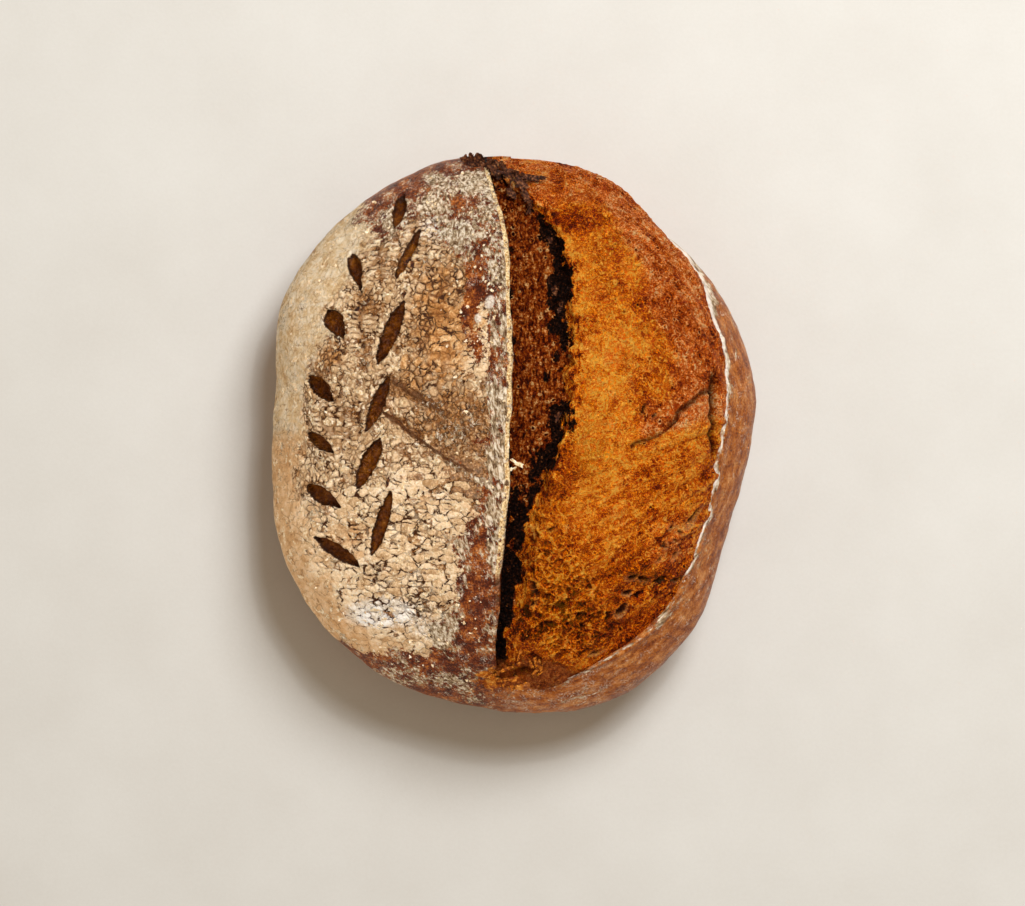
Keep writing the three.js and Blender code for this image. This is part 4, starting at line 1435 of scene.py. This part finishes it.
    wiped = w.kept("wiped_place")
    powdered, streaks = w.mask("powder"), w.mask("streaks")
    dust = use(w, wisps, place=place, wiped=wiped, amount=powdered, streaks=streaks)["Cover"]
    strokes = w.noise(w.shifted(wiped, 2.2, 2.6), 1.3, detail=3, roughness=0.6)
    powder = w.ramp(strokes, [(0.37, "#54402a"), (0.49, "#aa9474"), (0.63, "#f2e6d2")])
    colour = w.mix(w.times(dust, 0.88), colour, powder)
    whitest = w.times(w.span(w.mask("line"), 0.25, 0.8), w.span(strokes, 0.34, 0.5, 0.3, 0.9))
    colour = w.mix(w.times(whitest, dust), colour, "#ece2d8")
    dry = w.times(w.mask("dry"), w.minus(1.0, w.times(cover, 0.9)))
    patches = w.span(w.add(dry, w.swing(w.noise(place, 4.5, detail=3), 1.6)), 0.4, 0.7)
    # White flecks on the skirt: threads of flour, plus pale dots that are partly specks and partly painted
    # glints.
    threads = w.most(use(w, filaments, place=place, size=1.0)["Line"], w.times(blisters["Dot"], 0.9))
    threads = w.times(w.times(threads, patches), w.span(fine, 0.37, 0.48))
    colour = w.mix(w.times(threads, 0.85), colour, "#f6e6d4")
    lump = w.ramp(fine, [(0.4, "#c9b4a2"), (0.6, "#f2e8dc")])
    colour = w.mix(w.span(w.mask("lump"), 0.35, 0.7), colour, lump)

    # At the tear's foot the skin is torn too.
    strands = use(w, curls, place=place, size=1.8)["Strands"]
    shreds = w.span(w.add(w.mask("torn_foot"), w.swing(broad, 3.0)), 0.45, 0.65)
    shreds = w.times(shreds, w.span(w.mask("torn_foot"), 0.06, 0.24))
    torn_tone = w.add(0.45, w.swing(broad, 1.6), w.times(strands, 0.26), w.swing(fine, 0.5))
    colour = w.mix(shreds, colour, w.ramp(torn_tone, [
        (0.15, "#3a1000"), (0.38, "#7a3000"), (0.6, "#b8650c"), (0.85, "#e8a048"),
    ]))
    # Painted shade: the hollow at the tear's foot is near-black.
    colour = w.mix(w.span(w.add(w.mask("hollow"), w.swing(speck, 0.6)), 0.3, 0.6), colour, "#1e0700")

    # Slash floors show bare, glossy brown dough. The lip's edge is a cream cut.
    inside = w.span(w.add(w.mask("slash"), w.swing(speck, 1.0)), -0.12, 0.12)
    # Painted shade: a darker ring just inside each slash's edge stands for shade from the rim.
    ring = w.times(inside, w.span(w.add(w.mask("slash"), w.swing(speck, 1.0)), 0.15, 1.0, 1.0, 0.0))
    floor_tone = w.add(0.5, w.swing(speck, 0.6), w.swing(broad, 0.9))
    floor = w.ramp(floor_tone, [
        (0.3, "#351200"), (0.48, "#572800"), (0.66, "#80480a"), (0.95, "#b88240"),
    ])
    floor = w.mix(w.times(ring, 0.85), floor, "#1c0800")
    colour = w.mix(inside, colour, floor)
    lip = w.times(w.span(w.mask("lip_edge"), 0.25, 0.6), w.span(w.noise(place, 2.6, detail=4), 0.38, 0.46))
    colour = w.mix(lip, colour, w.mix(w.span(fine, 0.38, 0.58), "#b98a4c", "#f8dfae"))
    # Painted shade: the underside of the ear's lip is near-black.
    colour = w.mix(w.mask("shade_under_lip"), colour, "#1e0900")
    w.set(shader.inputs["Base Color"], colour)

    matte = w.times(cover, w.minus(1.0, inside))
    matte = w.times(matte, w.span(w.mask("toast"), 0.2, 0.9, 1.0, 0.35))
    matte = w.most(matte, w.times(dust, 0.9))
    w.set(shader.inputs["Roughness"], w.mix(matte, grey(0.32), grey(0.92)))
    w.set(shader.inputs["Specular IOR Level"], 0.16)
    dome = w.times(w.span(out["Edge"], 0.0, 1.0), w.scaled(in_plates, -0.75, 1.0))
    dome = w.times(w.times(dome, cover), w.scaled(film, -0.85, 1.0))
    height = w.add(
        w.times(dome, 0.9), w.times(fine, 0.45), w.times(speck, w.scaled(w.mask("skirt"), -0.5, 0.9)),
        w.times(dust, 0.2), w.times(lumps, cover, 0.35), w.times(shreds, strands, 0.5),
        w.times(threads, 0.25), w.times(w.most(crack, hair), -0.4),
    )
    w.set(shader.inputs["Normal"], bump(w, height, 0.8))
    return material


def bloom_material(curls, bubbles, web, filaments):
    material, w, shader = new_material("torn_crust")
    place = w.place()
    coarse = use(w, curls, place=place, size=2.3)
    thin = use(w, curls, place=place, size=1.2, offset=(31, 7, 3))
    burst = use(w, bubbles, place=place, share=w.scaled(w.mask("blistered"), 0.5, 0.07))
    fine = w.noise(place, 0.95, detail=4, roughness=0.65)
    speck = w.noise(place, 2.2, detail=4, roughness=0.65)
    broad = w.noise(place, 7, detail=4, roughness=0.55)
    fan = w.noise(w.kept("fan_grain"), 1.8, detail=4, roughness=0.6)
    ring = w.noise(w.kept("ring_grain"), 1.5, detail=4, roughness=0.6)

    cells = use(w, web, place=place)
    in_web = w.span(w.add(w.mask("web"), w.swing(broad, 1.2)), 0.3, 0.7)
    threads = w.times(in_web, cells["Wall"])
    bake = w.add(w.mask("browned_and_shaded"), w.swing(broad, 0.5), w.swing(fine, 0.46), w.swing(speck, 0.56))
    fibre = w.most(use(w, filaments, place=place, size=1.15)["Line"],
                   use(w, filaments, place=w.vector("ADD", place, (40, 9, 5)), size=0.8)["Line"])
    bake = w.minus(bake, w.times(w.minus(fibre, 0.1), 0.5))
    stretched = w.vector("MULTIPLY", w.shifted(place, 4, 3.0), (1.0, 0.28, 0.4))
    upright = w.noise(stretched, 1.2, detail=3, roughness=0.6)
    # Bubble holes are baked darker as painted shade, and their pale dots are partly specks and partly
    # painted glints.
    bake = w.add(
        bake, w.times(w.swing(upright, -2.6), w.mask("edge")),
        w.times(in_web, w.scaled(cells["Value"], 0.3, -0.05)), w.times(threads, -0.4),
        w.times(w.swing(fan, 1.3), w.mask("fan")), w.times(w.swing(ring, 1.3), w.mask("ring")),
        w.times(coarse["Strands"], -0.24), w.times(thin["Strands"], -0.26),
        w.times(w.mask("pale_and_lit_rim"), -0.25),
        w.times(coarse["Pockets"], w.scaled(w.mask("pits"), 0.5, 0.22)),
        w.times(burst["Rim"], -0.3), w.times(burst["Dot"], -0.28), w.times(burst["Hole"], 0.36),
    )
    baked = w.scaled(bake, 0.9, 0.325)
    golden = w.ramp(baked, [
        (0.0, "#ffb848"), (0.14, "#fe9c18"), (0.28, "#f47e00"), (0.4, "#da5e00"),
        (0.53, "#b24000"), (0.67, "#882600"), (0.84, "#541000"), (1.0, "#240400"),
    ])
    ruddy = w.ramp(baked, [
        (0.0, "#ffcc90"), (0.14, "#fea454"), (0.28, "#f08226"), (0.4, "#dc640e"),
        (0.53, "#c04a02"), (0.67, "#943000"), (0.84, "#641a00"), (1.0, "#2c0800"),
    ])
    golden = w.mix(w.span(w.add(w.mask("ruddy"), w.swing(broad, 1.4)), 0.0, 1.0), golden, ruddy)
    golden = w.mix(w.times(w.mask("olive"), w.span(speck, 0.62, 0.4, 0.0, 0.5)), golden, "#9a6600")

    # The torn strip under the ear: red-brown, blistered, with pale dots that are partly specks and partly
    # painted glints, and bubble holes painted darker as shade.
    torn_tone = w.add(
        0.52, w.swing(upright, 1.3), w.swing(fine, 0.9), w.swing(speck, 0.9),
        w.times(w.minus(burst["Rim"], burst["Hole"]), 0.3), w.times(burst["Dot"], 0.26),
        w.times(thin["Strands"], 0.12),
    )
    torn = w.ramp(torn_tone, [
        (0.2, "#120200"), (0.4, "#4c1200"), (0.56, "#863000"),
        (0.74, "#ba6420"), (0.97, "#eab878"),
    ])
    pulled = w.vector("MULTIPLY", w.shifted(place, 3.5, 4.0), (1.0, 0.42, 0.6))
    streaky = w.noise(pulled, 2.2, detail=5, roughness=0.68)
    in_strip = w.span(w.add(w.mask("strip"), w.swing(streaky, 2.6)), 0.42, 0.58)
    colour = w.mix(in_strip, golden, torn)
    # Char along the torn wall: partly real char, partly painted shade in the crevice and under the ear.
    tatters = w.add(w.swing(streaky, 2.6), w.swing(w.noise(pulled, 4.6, detail=4), 2.6))
    charred = w.span(w.add(w.mask("char_and_shade"), tatters), 0.46, 0.6)
    charred = w.times(charred, w.span(w.mask("char_and_shade"), 0.04, 0.2))
    soot_tone = w.add(0.5, w.add(w.swing(fine, 1.0), w.times(burst["Dot"], 0.25)))
    soot_and_shade = w.ramp(soot_tone, [
        (0.4, "#020000"), (0.54, "#180702"), (0.66, "#45200c"), (0.85, "#9c5e30"),
    ])
    colour = w.mix(charred, colour, soot_and_shade)
    # Painted shade: the crease, the hollow and the burst holes are near-black.
    dark = w.most(w.mask("crease"), w.most(w.mask("hollow"), w.mask("hole")))
    colour = w.mix(w.times(dark, 0.9), colour, "#1c0500")
    # Pale rims of the burst holes, brighter on their lit side as painted highlight.
    colour = w.mix(w.times(w.mask("pale_and_lit_rim"), w.span(fine, 0.4, 0.55, 0.1, 0.75)), colour, "#e6b070")
    whole_tone = w.add(0.56, w.swing(speck, 0.7), w.swing(fine, 0.6))
    whole = w.ramp(whole_tone, [
        (0.3, "#421500"), (0.45, "#6c2a08"), (0.58, "#96491a"), (0.72, "#bb7236"),
        (0.9, "#e0ae78"),
    ])
    colour = w.mix(w.times(w.mask("blend"), w.minus(1.0, w.mask("hollow"))), colour, whole)
    w.set(shader.inputs["Base Color"], colour)
    w.set(shader.inputs["Roughness"], w.span(fine, 0.3, 0.7, 0.3, 0.6))
    w.set(shader.inputs["Specular IOR Level"], 0.07)
    height = w.add(
        w.times(coarse["Strands"], 0.8), w.times(thin["Strands"], 0.45), w.times(threads, 0.9),
        w.times(fibre, 0.5), w.times(fine, 0.7), w.times(speck, 0.9),
        w.times(w.minus(burst["Rim"], burst["Hole"]), 0.6),
        w.times(fan, w.mask("fan"), 1.2), w.times(ring, w.mask("ring"), 1.2),
    )
    w.set(shader.inputs["Normal"], bump(w, height, 1.0))
    return material


# ---------------------------------------------------------------- the table, the light and the camera

def floor_material():
    material, w, shader = new_material("pale_plaster")
    coordinates = w.node("ShaderNodeTexCoord").outputs["Object"]
    cloud = w.noise(coordinates, 0.07, detail=6, roughness=0.6)
    grain = w.noise(coordinates, 0.0016, detail=3, roughness=0.6)
    tone = w.add(w.times(cloud, 0.75), w.times(grain, 0.25))
    colour = w.ramp(tone, [(0.34, (0.735, 0.727, 0.70, 1)), (0.66, (0.79, 0.79, 0.77, 1))])
    w.set(shader.inputs["Base Color"], colour)
    w.set(shader.inputs["Roughness"], 0.9)
    w.set(shader.inputs["Specular IOR Level"], 0.2)
    w.set(shader.inputs["Normal"], bump(w, tone, 0.4, 0.3))
    return material


def make_floor():
    bpy.ops.mesh.primitive_plane_add(size=6, location=(0, 0, 0))
    floor = bpy.context.object
    floor.name = "table"
    floor.data.materials.append(floor_material())


def lamp(name, toward, distance, size, energy, colour):
    """A round soft lamp at a distance in the given direction, aimed at the loaf."""
    light = bpy.data.lights.new(name, "AREA")
    light.shape = "DISK"
    light.size = size
    light.energy = energy
    light.color = colour
    made = bpy.data.objects.new(name, light)
    made.location = Vector(toward).normalized() * distance
    made.rotation_euler = Vector(toward).to_track_quat("Z", "Y").to_euler()
    bpy.context.scene.collection.objects.link(made)
    return made


def make_light(pieces):
    lamp("window", (0.5, 0.83, 1.26), 1.9, 0.9, 30.6, (1.0, 1.0, 0.995))
    lamp("glint", (0.4, 0.75, 1.3), 2.2, 0.12, 4, (1.0, 0.98, 0.95))
    # A fill from the shaded side that reaches only the loaf.
    fill = lamp("fill", (-0.62, -0.72, 0.95), 1.6, 1.2, 12, (1.0, 0.93, 0.84))
    loaf = bpy.data.collections.new("filled_by_lamp")
    for piece in pieces:
        loaf.objects.link(piece)
    fill.light_linking.receiver_collection = loaf
    world = bpy.data.worlds.new("room")
    world.use_nodes = True
    world.node_tree.nodes["Background"].inputs["Color"].default_value = (1.0, 0.82, 0.6, 1)
    world.node_tree.nodes["Background"].inputs["Strength"].default_value = 0.345
    bpy.context.scene.world = world
    bpy.context.scene.view_settings.view_transform = "Standard"


def make_camera():
    camera = bpy.data.cameras.new("camera")
    camera.sensor_width = 36
    camera.lens = LENS
    camera.clip_start = 0.05
    camera.clip_end = 20
    eye = bpy.data.objects.new("camera", camera)
    eye.location = EYE
    bpy.context.scene.collection.objects.link(eye)
    bpy.context.scene.camera = eye


def main():
    make_camera()
    make_floor()
    skin = make_skin()
    shape_skin(skin)
    relieve_skin(skin, crackle_effect(RELIEF))
    bloom = make_bloom()
    shape_bloom(bloom)
    relieve_bloom(bloom, curls_effect(RELIEF), bubbles_effect(RELIEF), web_effect(RELIEF))
    dust_rim(skin, bloom)
    crackle, curls, bubbles = crackle_effect(SHADER), curls_effect(SHADER), bubbles_effect(SHADER)
    filaments = filaments_effect(SHADER)
    skin.data.materials.append(skin_material(crackle, curls, bubbles, wisps_effect(SHADER), filaments))
    bloom.data.materials.append(bloom_material(curls, bubbles, web_effect(SHADER), filaments))
    details = make_details(skin, bloom)
    make_light([skin, bloom] + details)
    for piece in [skin, bloom] + details:
        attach(piece, "root")
    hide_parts("loaf")
    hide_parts("loaf")


main()
